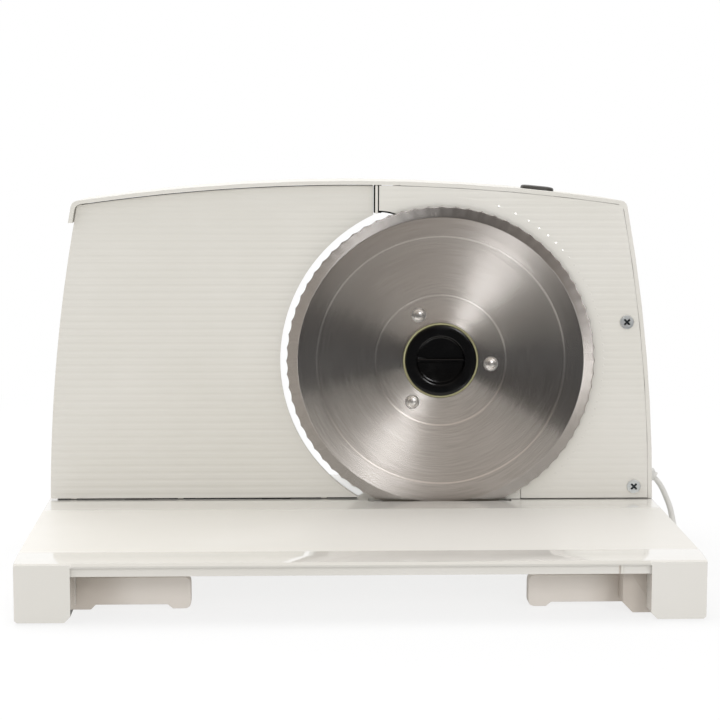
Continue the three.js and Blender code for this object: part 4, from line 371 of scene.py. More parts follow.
outer = rounded_loop(18.85, 36.15, 0.0, 13.4, 1.6)
inner = rounded_loop(19.65, 35.35, 0.8, 12.6, 0.8)
strap = np.stack([
    np.insert(edge, 1, side * TIE_HALF, axis=1)
    for edge, side in [(inner, -1), (outer, -0.92), (outer, 0.92), (inner, 1)]
], axis=1)
tie_c, tie_s = np.cos(TIE_ANGLE), np.sin(TIE_ANGLE)
spin = np.array([[tie_c, tie_s, 0], [-tie_s, tie_c, 0], [0, 0, 1]])
strap = strap @ spin + [COIL_AT[0], COIL_AT[1] + CUT, 0]
tie = piece("flex_tie", HOUSING, "black_plastic", [shell(strap, wrap_rows=True)], ["cord_tie"])

# %% [markdown]
# The plug is a stack of rounded rectangles that swell from the neck to the grip, with a waist for
# the fingers. Its two pins are the first turned pieces: a profile of radius against distance is
# carried round a line.

# %% Plug and pins
def superellipse(power, count=48):
    """|u|^n + |v|^n = 1, walked by angle."""
    ring = circle(count)
    return np.sign(ring) * np.abs(ring) ** (2 / power)


PLUG_FROM, PLUG_LENGTH = COIL_AT[1] - TAIL - 0.3 + CUT, 33.0
share = np.concatenate([[0, 0.012, 0.03], np.linspace(0.06, 0.95, 24), [0.975, 0.99, 1.0]])
half_wide = np.interp(share, [0, 0.03, 1], [0.86, 1, 1]) * (5.4 + 7.6 * smoothstep(share, 0.05, 0.55))
half_wide -= 1.2 * np.exp(-(((share - 0.62) / 0.16) ** 2)) + 1.2 * smoothstep(share, 0.95, 1.0)
half_high = np.interp(share, [0, 0.03, 1], [0.86, 1, 1]) * (4.4 + 2.4 * smoothstep(share, 0.0, 0.45))
half_high -= 0.9 * smoothstep(share, 0.96, 1.0)
unit = superellipse(3.2)
body_rows = xyz(
    COIL_X + half_wide[:, None] * unit[:, 0], PLUG_FROM - PLUG_LENGTH * share[:, None],
    PLUG_Z + half_high[:, None] * unit[:, 1],
)
plug = piece("mains_plug_body", HOUSING, "white_flex", [shell(body_rows)], ["mains_plug"])


def square_to(along):
    """Two unit directions square to a line and to each other."""
    side = np.cross(along, [0, 0, 1] if abs(along[2]) < 0.9 else [1, 0, 0])
    side = side / np.linalg.norm(side)
    return side, np.cross(along, side)


def turned(profile, at, along=(0, 1, 0), count=48):
    """Profile (radius, distance) carried round the line through at: a surface of revolution."""
    along = np.asarray(along, float) / np.linalg.norm(along)
    side, other = square_to(along)
    ring = circle(count)
    spokes = ring[:, :1] * side + ring[:, 1:] * other
    radii, run = np.asarray(profile, float).T[:, :, None, None]
    return shell(np.asarray(at) + run * along + radii * spokes)


PIN = [[0.6, 0], [1.5, 0.25], [1.9, 0.9], [1.9, 9], [2.0, 9.2], [2.0, 19.5]]
PIN_X, PIN_LENGTH = 9.3, 19
plug_end = PLUG_FROM - PLUG_LENGTH
pins = piece("plug_pins", HOUSING, "steel", [
    turned(PIN, [COIL_X + side * PIN_X, plug_end - PIN_LENGTH, PLUG_Z], count=24) for side in (-1, 1)
])

# %% [markdown]
# ## The body's arch
# Seen from the front, the roof is a wide arc and the sides bow in slightly. The panel and the
# fence plate share that outline, so two small functions give the side and the roof at any place.

# %% Outline of the body
BODY_HEIGHT, CROWN, BOW, UPRIGHT = 207.0, 1028.0, 900.0, 20.0
BLADE_X, BLADE_Z = 48.7, 108.5
PITCH_RIB, RIB, RIB_PHASE = 4.0, 0.14, 0.3
TABLE_TOP = 30.5


def side_at(z, inset):
    """Half width at height z: an arc of the bow's radius that stands upright near the table."""
    return HALF - BOW + np.sqrt((BOW - inset) ** 2 - (z - UPRIGHT) ** 2)


def crown_at(x, inset):
    """Roof height at x: an arc of the crown's radius about the middle."""
    return BODY_HEIGHT - CROWN + np.sqrt((CROWN - inset) ** 2 - x ** 2)


def ribs(z):
    """0 in the grooves and 1 on the crests, with soft flanks, one crest every pitch."""
    wave = np.sin(2 * np.pi * (z - TABLE_TOP) / PITCH_RIB + RIB_PHASE) + 0.35
    return smoothstep(wave, -0.35, 0.35)


def slab(x, z, face, back):
    """Front skin at y = face, joined round its border to a flat back at y = back."""
    rows, cols = x.shape
    front_skin = xyz(x, face, z).reshape(-1, 3)
    index = np.arange(rows * cols).reshape(rows, cols)
    border = np.concatenate([index[0, :-1], index[:-1, -1], index[-1, :0:-1], index[:0:-1, 0]])
    rear = front_skin[border].copy()
    rear[:, 1] = back
    count, start = len(border), rows * cols
    nxt = np.roll(np.arange(count), -1)
    walls = np.column_stack([border, start + np.arange(count), start + nxt, border[nxt]])
    faces = grid_faces(rows, cols, False, False).tolist() + walls.tolist()
    faces.append((start + np.arange(count)).tolist())
    return np.vstack([front_skin, rear]), faces


print("roof above the blade axis:", round(float(crown_at(BLADE_X, 0)), 2), "mm")

# %% [markdown]
# ## Ribbed fence plate
# The plate that the food slides along carries low level ribs. Each row of the grid is one height,
# each column a share of the way from the bowed left side to the edge that follows the blade. The
# rib wave then pushes the rows back and forth, so the ribs are real and not a painted pattern.

# %% Fence plate
FENCE_FACE, FENCE_BACK = 6.5 + CUT, 9.5 + CUT
LEG_X, LEG_Z = (-118.0, -42.0), 48
LEG_BOSS = [[1.85, 0], [5, 0], [5, 3.6], [4.6, 4.4], [1.85, 4.4]]
NUB_X, NUB_HALF = (-154.0, -95.0, -15.5), 1.8


def block(x0, x1, y0, y1, z0, z1, edge=0.3):
    """A box with soft upright edges: rounded rectangles stacked along Y, drawn in at both ends."""
    ring = rounded_loop(x0, x1, z0, z1, min(edge * 2, (x1 - x0) / 2.2, (z1 - z0) / 2.2), 4)
    centre = np.array([(x0 + x1) / 2, (z0 + z1) / 2])
    size = np.array([x1 - x0, z1 - z0])
    drawn = 1 - 2 * edge / size
    stack = [(y0, drawn), (y0 + edge, 1.0), (y1 - edge, 1.0), (y1, drawn)]
    return shell(np.stack([np.insert(centre + (ring - centre) * s, 1, y, axis=1) for y, s in stack]))


FENCE_CROWN = 2.7  # plate's upper edge below the roof's outer face
fence_z = np.linspace(31.35, 204.4, 519)
FENCE_ARC, FENCE_END = 88.9, 11.5
ARC_X, ARC_Z = BLADE_X + 0.7, BLADE_Z - 0.6
arc_rise = fence_z - ARC_Z
fence_gap = ARC_X - np.sqrt(np.maximum(FENCE_ARC ** 2 - arc_rise ** 2, 0))
fence_right = np.minimum(np.where(np.abs(arc_rise) < FENCE_ARC, fence_gap, FENCE_END), FENCE_END)
fence_left = -side_at(fence_z, 0.8)
share = np.linspace(0, 1, 44)[None, :]
fence_x = fence_left[:, None] + (fence_right - fence_left)[:, None] * share
fence_top = np.minimum(fence_z[:, None], crown_at(fence_x, FENCE_CROWN))
fence_y = FENCE_FACE + RIB * (1 - ribs(fence_top))
fence_shells = [slab(fence_x, fence_top, fence_y, FENCE_BACK)]
fence_shells += [block(x - 1, x + 1, FENCE_BACK - 0.4, FENCE_BACK + 4, 60, 183) for x in LEG_X]
fence_shells += [turned(LEG_BOSS, [x, FENCE_BACK - 0.4, LEG_Z], count=32) for x in LEG_X]
fence_shells += [
    block(x - NUB_HALF, x + NUB_HALF, FENCE_FACE + 0.4, FENCE_BACK - 0.2, 30.9, 32.4) for x in NUB_X
]
piece("ribbed_fence", "fence", "satin_white", fence_shells, ["fence_plate"], crease=50, merge=True)

# %% [markdown]
# A dark line of shade runs under the plate and along its upper edge: strips of black plastic behind
# it are painted shade for it. Beside the plate's upper end the case shows as a narrow white upright,
# and between the two lies a dark grey block, with a thin dark strip under the panel's tab as painted
# shadow. The straight ones are blocks, and the upper strip is a slab whose two long edges are the
# roof's arc at two depths.

# %% Painted shade strips, upright and dark block
STRIP_LEFT, STRIP_RIGHT, STRIP_FRONT = -163.0, 3.0, FENCE_BACK + 0.05
strip_x = np.tile(np.linspace(-147.5, FENCE_END - 0.2, 60), (2, 1))
strip_z = np.stack([crown_at(strip_x[0], 7.0), crown_at(strip_x[1], 2.45)])
# black strips as painted shade along the plate's lower and upper edges
piece("crumb_strips", "fence", "black_plastic", [
    block(STRIP_LEFT, STRIP_RIGHT, FENCE_FACE + 1.0, STRIP_FRONT + 1.4, 30.62, 31.66, 0.1),
    slab(strip_x, strip_z, STRIP_FRONT, STRIP_FRONT + 0.7),
], crease=30, merge=True)
UPRIGHT_LEFT, UPRIGHT_RIGHT = 12.45, 13.9
TAB_LEFT, TAB_HIGH = 14.55, 190.8
BACKING_FRONT, BACKING_BACK = 5.8 + CUT, 7.2 + CUT
piece("case_upright", HOUSING, "satin_white", [
    block(UPRIGHT_LEFT, UPRIGHT_RIGHT, 3.2 + CUT, 5.4 + CUT, 189.2, 204.5, 0.25)
])
tab_x = np.tile(np.linspace(TAB_LEFT - 0.6, TAB_LEFT + 12, 25), (2, 1))
tab_z = TAB_HIGH - 1.96 * ((tab_x - TAB_LEFT) / 10) ** 2 + np.array([[-1.0], [0.4]])
# a dark grey block in the gap, and a thin dark slab under the tab as painted shadow
piece("plate_guide", HOUSING, "black_plastic", [
    block(FENCE_END + 0.2, TAB_LEFT + 1.5, BACKING_FRONT, BACKING_BACK, 189.4, 204.6, 0.2),
    slab(tab_x, tab_z, BACKING_FRONT, BACKING_BACK),
], crease=30)

# %% [markdown]
# ## Ribbed front panel
# The panel on the right is made the same way, but its left border is the round opening for the
# blade, and its ribs stop short of the blade on a circle. The columns are split at that circle,
# so that every rib ends cleanly there and catches a small point of light.

# %% Front panel
PANEL_FRONT, PANEL_BACK = 3.0 + CUT, 5.6 + CUT
BORE, SMOOTH, TAB_LOW, TAB_REACH, PANEL_RIB = 75.5, 90.0, 186.96, 14.0, 0.08
BORE_TOP, SLOT_RIGHT, PANEL_INSET, CORNER_Z, CORNER = 184.0, 94.0, 2.5, 195.2, 3.0
panel_z = np.unique(np.concatenate([
    np.linspace(31.1, 204.4, 521), [BORE_TOP, BORE_TOP + 0.001, TAB_LOW, TAB_LOW + 0.001, TAB_HIGH]
]))
rise = panel_z - BLADE_Z
bore = BLADE_X + np.sqrt(np.maximum(BORE ** 2 - rise ** 2, 0))
tab = TAB_LEFT + TAB_REACH * np.sqrt(np.clip((TAB_HIGH - panel_z) / (TAB_HIGH - TAB_LOW), 0, 1))
panel_left = np.where(rise < 0, np.maximum(bore, SLOT_RIGHT), bore)
panel_left = np.where(panel_z <= BORE_TOP, panel_left, TAB_LEFT + TAB_REACH)
panel_left = np.where(panel_z > TAB_LOW, tab, panel_left)
drop = np.clip(panel_z - (CORNER_Z - CORNER), 0, CORNER - 0.01)
panel_right = side_at(panel_z, PANEL_INSET) - (CORNER - np.sqrt(CORNER ** 2 - drop ** 2))
ring_x = BLADE_X + np.sqrt(np.maximum(SMOOTH ** 2 - rise ** 2, 0))
ring_x = np.clip(ring_x, panel_left + 0.6, panel_right - 0.6)
inner_share = np.linspace(0, 1, 10)[None, :-1]
outer_share = np.concatenate([np.linspace(0, 0.04, 6)[:-1], np.linspace(0.04, 1, 34)])[None, :]
panel_x = np.hstack([
    panel_left[:, None] + (ring_x - panel_left)[:, None] * inner_share,
    ring_x[:, None] + (panel_right - ring_x)[:, None] * outer_share,
])
panel_top = np.minimum(panel_z[:, None], crown_at(panel_x, PANEL_INSET))
away = np.hypot(panel_x - BLADE_X, panel_top - BLADE_Z)
panel_y = PANEL_FRONT + PANEL_RIB * (1 - ribs(panel_top)) * smoothstep(away, SMOOTH, SMOOTH + 0.6)
piece(
    "ribbed_panel", HOUSING, "satin_white", [slab(panel_x, panel_top, panel_y, PANEL_BACK)],
    ["front_panel"], crease=50, merge=True,
)

# %% [markdown]
# Each groove of the panel ends in a small flat facet on the circle. The facets lean up and to the
# right, and a little outwards, so those at the upper right throw the lamp straight at the eye.

# %% Facets at the groove ends
FACET_LEAN, FACET_WAY, FACET_SPREAD = np.radians(15.0), np.radians(58.0), 0.3
groove_z = TABLE_TOP - PITCH_RIB * (np.pi / 2 + RIB_PHASE) / (2 * np.pi) + PITCH_RIB * np.arange(4, 42)
FACET_CIRCLE = SMOOTH + 0.4
FACET = [[0.02, 0], [0.5, 0], [0.6, 0.1], [0.6, 0.7], [0.02, 0.7]]
facet_at = np.arcsin((groove_z - BLADE_Z) / FACET_CIRCLE)
facet_way = FACET_WAY + FACET_SPREAD * (facet_at - FACET_WAY)
middle = np.array([BLADE_X, PANEL_FRONT - 0.02, BLADE_Z])
spots = middle + FACET_CIRCLE * xyz(np.cos(facet_at), 0, np.sin(facet_at))
tilted = -np.sin(FACET_LEAN)
leans = xyz(tilted * np.cos(facet_way), np.cos(FACET_LEAN), tilted * np.sin(facet_way))
piece("groove_ends", HOUSING, "gloss_white", [
    turned(FACET, spot, lean, count=16) for spot, lean in zip(spots, leans)
])

# %% [markdown]
# ## Blade
# The blade is a dished steel disc: a flat hub, a shallow cone, two small steps and a ground bevel
# with 72 scallops. One profile is turned round the axle. Near the rim every spoke is shortened by
# the scallop's depth at its angle, |sin(36 angle)|, which leaves sharp peaks and round valleys.

# %% Blade
BLADE_R, SCALLOPS, SCALLOP, FLUTE, BEVEL_R = 85.0, 72, 0.7, 0.03, 78.8
BLADE_THICK, THIN_ROWS, SCALLOP_STEPS = 1.4, 6, 12
blade_front = np.array([
    [20.9, 2.3], [21.3, 2.4], [28, 2.4], [35.3, 2.4], [35.6, 2.35], [36.3, 2.0], [36.6, 1.95],
    [44, 1.65], [52, 1.3], [60, 0.92], [67.5, 0.45], [67.8, 0.4], [68.6, 0.05], [68.9, 0.0],
    [73, 0.0], [77, 0.0], [78.5, 0.0], [79.0, 0.03], [80.2, 0.13], [81.5, 0.24], [82.8, 0.35],
    [84, 0.45], [84.4, 0.49], [84.8, 0.53],
])
edge_ring = np.array([[BLADE_R, 0.6], [BLADE_R, 1.15]])
blade_back = blade_front[::-1] + [0, BLADE_THICK]
blade_back[:THIN_ROWS, 1] = np.linspace(1.2, BLADE_THICK, THIN_ROWS)
profile = np.vstack([blade_front, edge_ring, blade_back])
angle = np.linspace(0, 2 * np.pi, SCALLOPS * SCALLOP_STEPS, endpoint=False)
valley = np.abs(np.sin(angle * SCALLOPS / 2))
reach = smoothstep(profile[:, 0], BEVEL_R, BLADE_R)[:, None]
r = profile[:, 0, None] - reach * SCALLOP * valley
flute = FLUTE * reach * valley * (np.arange(len(profile)) < len(blade_front))[:, None]
blade_y = CUT + profile[:, 1, None] + flute
blade_rows = xyz(BLADE_X + r * np.cos(angle), blade_y, BLADE_Z + r * np.sin(angle))
blade_skin = shell(blade_rows, wrap_rows=True)
piece("scalloped_blade", "blade", "steel", [blade_skin], ["blade"], crease=30)

# %% [markdown]
# Three rivets hold the blade to its gear. Their heads are low domes with a groove round them, so
# each shows a bright spot inside a bright ring.

# %% Rivets
RIVETS, RIVET_CIRCLE = np.radians([116.0, 236.0, 356.0]), 27.8
RIVET = [
    [0.3, -0.52], [0.9, -0.48], [1.5, -0.36], [2.0, -0.18], [2.25, -0.02], [2.5, -0.2], [2.75, -0.24],
    [3.0, -0.14], [3.2, 0.08], [3.4, 0.24], [3.65, 0.24], [3.7, 0.16], [3.95, 0.16], [4.05, 0.4],
    [2.0, 0.4], [2.0, 8.4], [0.3, 8.4],
]
for number, at in enumerate(RIVETS, 1):
    spot = [BLADE_X + RIVET_CIRCLE * np.cos(at), CUT + 2.1, BLADE_Z + RIVET_CIRCLE * np.sin(at)]
    piece(f"rivet_{number}", "blade", "steel", [turned(RIVET, spot, count=40)], [f"blade_rivet_{number}"])

# %% [markdown]
# ## Lock knob
# The black knob in the middle of the blade is dished, with one thin bar across to turn it by. The
# disc is turned from a profile. The bar is a long rounded block that sinks into the dish's wall.

# %% Lock knob
LOCK_FACE, BAR_LONG, BAR_HIGH = CUT + 0.6, 13.3, 0.75
LOCK = [
    [0.3, 4.0], [11.6, 4.0], [12.6, 3.7], [13.0, 3.0], [13.1, 0.9], [13.4, 0.3], [14.0, 0.05],
    [19.1, 0.0], [19.4, 0.15], [19.5, 0.5], [19.5, 7.0], [5.5, 7.0], [5.5, 14.6], [5.1, 15.0],
    [0.3, 15.0],
]
lock_shells = [
    turned(LOCK, [BLADE_X, LOCK_FACE, BLADE_Z], count=128),
    block(
        BLADE_X - BAR_LONG, BLADE_X + BAR_LONG, LOCK_FACE + 0.7, LOCK_FACE + 4.2,
        BLADE_Z - BAR_HIGH, BLADE_Z + BAR_HIGH, 0.35,
    ),
]
piece("lock_knob", "blade_lock", "black_plastic", lock_shells, ["blade_lock_knob"], crease=40)

# %% [markdown]
# ## Screws
# Every fixing is the same zinc-plated cross-recess screw. Its head is a height over radius and
# angle: a low dome, less a cross-shaped pocket with sloping sides. The same rows go on down the
# rim and the shank, so each screw is one closed skin. The pocket's depth is kept at every point,
# so that the finish can paint shade into the cross.

# %% Screws
HEAD_ROWS, HEAD_FLAT, HEAD_HIGH, POCKET = 24, 3.5, 2.2, 0.85


def screw(at, along, length, count=64):
    """Head height = dome(r) - pocket(r cos a, r sin a); rows run outwards, then down the shank."""
    side, other = square_to(along)
    ring = circle(count)
    shank = [3.66, 3.76, 3.8, 3.8, 1.6, 1.6, 1.3, 0.05]
    r = np.concatenate([np.linspace(0.05, HEAD_FLAT, HEAD_ROWS), shank])
    u, v = r[:, None] * ring[:, 0], r[:, None] * ring[:, 1]
    u, v = (u + v) / np.sqrt(2), (v - u) / np.sqrt(2)
    arm = np.minimum(np.abs(u), np.abs(v))
    pocket = POCKET * (1 - smoothstep(arm, 0.34, 0.62)) * (1 - smoothstep(r, 1.7, 2.35))[:, None]
    pocket = pocket * (np.arange(len(r)) < HEAD_ROWS)[:, None]
    end = HEAD_HIGH + length
    below = [0.2, 0.35, 0.6, HEAD_HIGH, HEAD_HIGH, end - 0.4, end, end]
    level = np.concatenate([0.12 * (r[:HEAD_ROWS] / HEAD_FLAT) ** 2, below])
    plane = r[:, None, None] * (ring[:, :1] * side + ring[:, 1:] * other)
    return shell(np.asarray(at) + plane + (level[:, None] + pocket)[..., None] * along), pocket.ravel()


def box_mm(node):
    """Low and high corner of a solid's box."""
    return (np.array(corner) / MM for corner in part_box(node))


for node in sorted(n for n in frame["nodes"] if "screw" in n):
    low, high = box_mm(node)
    middle, span = (low + high) / 2, high - low
    up_axis = 2 if node.startswith(("bottom_cover", "case")) else 1
    heading = np.zeros(3)
    heading[up_axis] = -1.0 if node.startswith(("fence", "knob")) else 1.0
    start = middle.copy()
    start[up_axis] = low[up_axis] if heading[up_axis] > 0 else high[up_axis]
    body = {"fence": "fence", "knob": "thickness_dial"}.get(node.split("_")[0], HOUSING)
    skin, pocket = screw(start, heading, span[up_axis] - HEAD_HIGH)
    made = piece("zinc_" + node, body, "zinc", [skin], [node])
    made.data.attributes.new("pocket", "FLOAT", "POINT").data.foreach_set("value", pocket)

# %% [markdown]
# ## Switch button
# A dark oval button stands a few millimetres out of the roof, square to its slope. Oval outlines
# are stacked from a well below, which leaves room for the spring when the button is pressed, over
# the hidden skirt to the domed top. All of them are then turned by the roof's tilt.

# %% Button
BUTTON_AT = np.array([104.0, 30.0 + CUT, 201.24])
BUTTON_TILT = np.arcsin(BUTTON_AT[0] / CROWN)
OVAL_X, OVAL_Y = 9.25, 5.5


def oval(grow, steps=16):
    """A slot outline, grown or shrunk all round."""
    half_x, half_y = OVAL_X + grow, OVAL_Y + grow
    return rounded_loop(-half_x, half_x, -half_y, half_y, half_y - 0.01, steps)


BUTTON_STACK = [
    (-1.5, -5.0), (-1.5, -8.0), (1.2, -8.0), (1.2, -3.6), (0.9, -3.4), (0.0, -3.4), (0, 0), (0, 0.9),
    (-0.15, 1.3), (-0.5, 1.65), (-1.1, 1.85), (-2.2, 1.98), (-3.6, 2.07), (-4.8, 2.1),
]
button_rows = np.stack([np.insert(oval(grow), 2, z, axis=1) for grow, z in BUTTON_STACK])
c, s = np.cos(BUTTON_TILT), np.sin(BUTTON_TILT)
tilt = np.array([[c, 0, -s], [0, 1, 0], [s, 0, c]])
button_skin = shell(button_rows @ tilt + BUTTON_AT)
piece("oval_button", "switch", "grey_plastic", [button_skin], ["switch_button"], crease=40)

# %% [markdown]
# ## Thickness knob and its scale
# The knob behind sets the slice. Its grip has soft flutes, r = 19 - 0.8 (1 - cos 24a) / 2, that
# fade out towards the cap. A white pointer lies in the cap.

# %% Knob
KNOB_X, KNOB_Z, REAR, FLUTES = 25.0, 58.0, 82.0 + CUT, 24
knob_profile = np.array([
    [4.4, 0.4], [18.4, 0.4], [18.9, 0.8], [19, 1.6], [19, 9.0], [18.6, 10.2], [17.6, 11.2],
    [16.4, 11.7], [12, 12.0], [8, 11.8], [4.4, 11.5], [4.1, 11.3], [4.1, 9.2], [0.3, 9.2],
])
around = np.linspace(0, 2 * np.pi, FLUTES * 12, endpoint=False)
knob_run = knob_profile[:, 1, None]
flutes = 0.4 * (1 - np.cos(FLUTES * around)) * smoothstep(knob_profile[:, 0, None], 16, 18.4)
knob_r = knob_profile[:, 0, None] - flutes * (knob_run > 0.6)
knob_rows = xyz(KNOB_X + knob_r * np.cos(around), REAR + knob_run, KNOB_Z + knob_r * np.sin(around))
piece("fluted_knob", "thickness_dial", "grey_plastic", [shell(knob_rows)], ["thickness_knob"], crease=45)
piece("knob_pointer", "thickness_dial", "satin_white", [
    block(KNOB_X - 0.6, KNOB_X + 0.6, REAR + 11.4, REAR + 11.98, KNOB_Z + 8.5, KNOB_Z + 15.5, 0.1)
])

# %% [markdown]
# A plain scale of millimetres is raised on the wall round the knob. Each figure starts as a text
# curve, becomes a mesh, and is turned to face backwards.

# %% Scale on the rear wall
FIGURE_SIZE, FIGURE_DEPTH, SCALE_R, DEGREES_PER_MM, SCALE_TOP = 5.0, 0.2, 24.2, 20.0, 6


def lettering(text, middle):
    """Plain figures turned to face +Y: text made a mesh first, then put in place."""
    curve = bpy.data.curves.new("figure", "FONT")
    curve.body, curve.size, curve.extrude = text, FIGURE_SIZE * MM, FIGURE_DEPTH * MM / 2
    curve.align_x, curve.align_y = "CENTER", "CENTER"
    holder = bpy.data.objects.new("figure", curve)
    mesh = bpy.data.meshes.new_from_object(holder)
    bpy.data.objects.remove(holder)
    facing = Matrix(((-1, 0, 0, 0), (0, 0, 1, 0), (0, 1, 0, 0), (0, 0, 0, 1)))
    mesh.transform(Matrix.Translation([v * MM for v in middle]) @ facing)
    mesh.materials.clear()
    placed("scale_" + text, HOUSING, "grey_plastic", mesh)


for setting in (0, 3, 6, 9, 12, 15):
    swing = np.radians((setting - SCALE_TOP) * DEGREES_PER_MM)
    lettering(str(setting), [
        KNOB_X + SCALE_R * np.sin(swing), REAR + FIGURE_DEPTH / 2, KNOB_Z + SCALE_R * np.cos(swing)
    ])

# %% [markdown]
# ## Foot bars
# Behind each front foot a flat white bar reaches inwards and rests on a low pad at its end. It is
# one moulding: a side outline with rounded corners, pushed through its thickness, whose two rims
# are drawn in a little. At the right foot a gusset with a sloping corner stands in front of it.

# %% Foot bars
BAR_FRONT, BAR_BACK, PEG_X, PEG_Z = -93.7, -85.7, 154.0, 10.0
PEG = [[0.3, -6], [2.2, -6], [2.5, -5.6], [2.5, 0.5], [0.3, 0.5]]
BAR_OUTLINE = [
    (83.8, 16.5), (83.8, 0.5), (92.8, 0.5), (95.3, 2.6), (130.9, 2.6), (133.3, 0.2), (161.5, 0.2),
    (161.5, 16.5),
]
BAR_RADII = [4.0, 3.5, 0.8, 1.5, 0.8, 0.8, 1.0, 1.0]
GUSSET_OUTLINE = [(128.8, 26.0), (128.8, 5.7), (133.8, 0.6), (146.0, 0.6), (146.0, 26.0)]


def filleted(corners, radii, steps=7):
    """Each corner P becomes (1-t)^2 A + 2t(1-t) P + t^2 B, where A and B lie on its two legs."""
    p = np.asarray(corners, float)
    legs = np.stack([np.roll(p, 1, axis=0) - p, np.roll(p, -1, axis=0) - p])
    legs /= np.linalg.norm(legs, axis=2, keepdims=True)
    half_angle = np.arccos(np.sum(legs[0] * legs[1], axis=1)) / 2
    a, b = p + legs * (np.asarray(radii) / np.tan(half_angle))[:, None]
    t = np.linspace(0, 1, steps)[None, :, None]
    return ((1 - t) ** 2 * a[:, None] + 2 * t * (1 - t) * p[:, None] + t ** 2 * b[:, None]).reshape(-1, 2)


def pressed(outline, y0, y1, edge=0.6):
    """The outline stacked along Y; at both ends it is drawn in along its normals by the edge."""
    way = np.roll(outline, -1, axis=0) - np.roll(outline, 1, axis=0)
    inward = np.column_stack([-way[:, 1], way[:, 0]]) / np.linalg.norm(way, axis=1, keepdims=True)
    less = edge * 0.3
    stack = [(y0, edge), (y0 + less, less), (y0 + edge, 0), (y1 - edge, 0), (y1 - less, less), (y1, edge)]
    return shell(np.stack([np.insert(outline + inward * inset, 1, y, axis=1) for y, inset in stack]))


def mirrored_to(side, skin):
    """The same skin on the right (1) or the left (-1); the left one's faces are turned over."""
    points, faces = skin
    return points * [side, 1, 1], faces if side > 0 else [face[::-1] for face in faces]


bar = pressed(filleted(BAR_OUTLINE, BAR_RADII), BAR_FRONT, BAR_BACK)
peg = turned(PEG, [PEG_X, BAR_FRONT, PEG_Z], count=24)
for name, side in (("left", -1), ("right", 1)):
    bar_shells = [mirrored_to(side, skin) for skin in (bar, peg)]
    piece(name + "_bar", HOUSING, "satin_white", bar_shells, [name + "_foot_bar"])
gusset = pressed(filleted(GUSSET_OUTLINE, np.full(5, 0.5)), -108.0, BAR_FRONT + 0.4, 0.4)
# a thin block beside the rib, in the white with painted shade, as painted shade for the slit
slit_shade = block(124.7, 125.5, -119.66, -118.9, 22.9, 27.45, 0.05)
piece("right_gusset", HOUSING, "satin_white", [gusset, slit_shade])
piece("fascia_rib", HOUSING, "satin_white", [block(125.6, 126.8, -120.3, -118.5, 22.9, 27.4, 0.2)])

# %% [markdown]
# ## Mouldings from the solids
# The base, the case and the cover are mouldings whose solids are already right. What they
# lack is the small radius that every moulded edge has. A copy of each is welded, its flat faces
# are joined, and its long sharp edges are rounded, so they catch thin lines of light.

# %% Softened copies
LEAST_EDGE, SHARP_FROM, COPLANAR = 2.0, np.radians(24), np.radians(0.3)


def softened(name, node, slot, edge):
    """Weld, join coplanar faces, then bevel the edges that are sharp and long enough."""
    work = bmesh.new()
    work.from_mesh(frame["nodes"][node].data)
    bmesh.ops.remove_doubles(work, verts=work.verts, dist=WELD)
    bmesh.ops.dissolve_limit(work, angle_limit=COPLANAR, verts=work.verts, edges=work.edges)
    keen = [
        e for e in work.edges if len(e.link_faces) == 2
        and e.calc_face_angle(0) > SHARP_FROM and e.calc_length() > LEAST_EDGE * MM
    ]
    bmesh.ops.bevel(
        work, geom=keen, offset=edge * MM, offset_type="OFFSET", segments=3, profile=0.5,
        affect="EDGES", clamp_overlap=True,
    )
    mesh = bpy.data.meshes.new(name)
    work.to_mesh(mesh)
    work.free()
    made = placed(name, HOUSING, slot, mesh, [node], crease=32)
    even = made.modifiers.new("even_normals", "WEIGHTED_NORMAL")
    even.keep_sharp, even.weight = True, 100


softened("table_moulding", "base", "gloss_white", 0.8)
softened("case_moulding", "motor_case", "satin_white", 0.5)
softened("underside_cover", "bottom_cover", "grey_plastic", 0.5)

# %% [markdown]
# Each foot stands on a soft rubber pad. Its place comes from the solid's box, so the pads follow
# the feet if those are moved.

# %% Rubber feet
PAD = [[0.3, 0], [7.6, 0], [8.5, 0.25], [8.95, 0.9], [9, 1.6], [9, 3.6], [0.3, 3.6]]
for node in sorted(n for n in frame["nodes"] if n.startswith("rubber_foot")):
    low, high = box_mm(node)
    at = [(low[0] + high[0]) / 2, (low[1] + high[1]) / 2, 0]
    pad = turned(PAD, at, (0, 0, 1))
    piece(node.replace("rubber_foot", "foot_pad"), HOUSING, "rubber", [pad], [node])

# %% [markdown]
# ## Finishes
# A finish is a small graph of nodes. Writing sums of sockets as Python sums keeps it readable, so
# one class wraps a socket and turns +, - and * into Math nodes, whichever side the plain number is
# on. Everything else comes from one method that takes a node's type, its settings and its inputs.

# %% Sums of sockets
class Socket:
    """A node's output that takes part in ordinary sums."""

    def __init__(self, finish, out):
        self.finish, self.out = finish, out

    def sum(self, operation, *values):
        """A Math node over sockets and plain numbers."""
        return self.finish.node("ShaderNodeMath", {"operation": operation}, dict(enumerate(values)))

    def __add__(self, other):
        return self.sum("ADD", self, other)

    def __sub__(self, other):
        return self.sum("SUBTRACT", self, other)

    def __rsub__(self, other):
        return self.sum("SUBTRACT", other, self)

    def __mul__(self, other):
        return self.sum("MULTIPLY", self, other)

    __radd__, __rmul__ = __add__, __mul__

    def ramp(self, low, high):
        """0 below low and 1 above high, smooth between."""
        return self.finish.node("ShaderNodeMapRange", {"interpolation_type": "SMOOTHSTEP"}, {
            "Value": self, "From Min": low, "From Max": high,
        })

    def output(self, name):
        """Another output of the same node."""
        return Socket(self.finish, self.out.node.outputs[name])


def srgb(red, green, blue):
    """Screen values 0-255 as linear light."""
    value = np.array([red, green, blue]) / 255
    return tuple(np.where(value <= 0.04045, value / 12.92, ((value + 0.055) / 1.055) ** 2.4)) + (1.0,)


print("mid grey in linear light:", round(float(srgb(128, 128, 128)[0]), 3))

# %% [markdown]
# A finish owns one material and its graph. A few of its methods name what is used again and again:
# cloudy noise, a blend of two colours, a bump, a thin line, and sums of vectors.

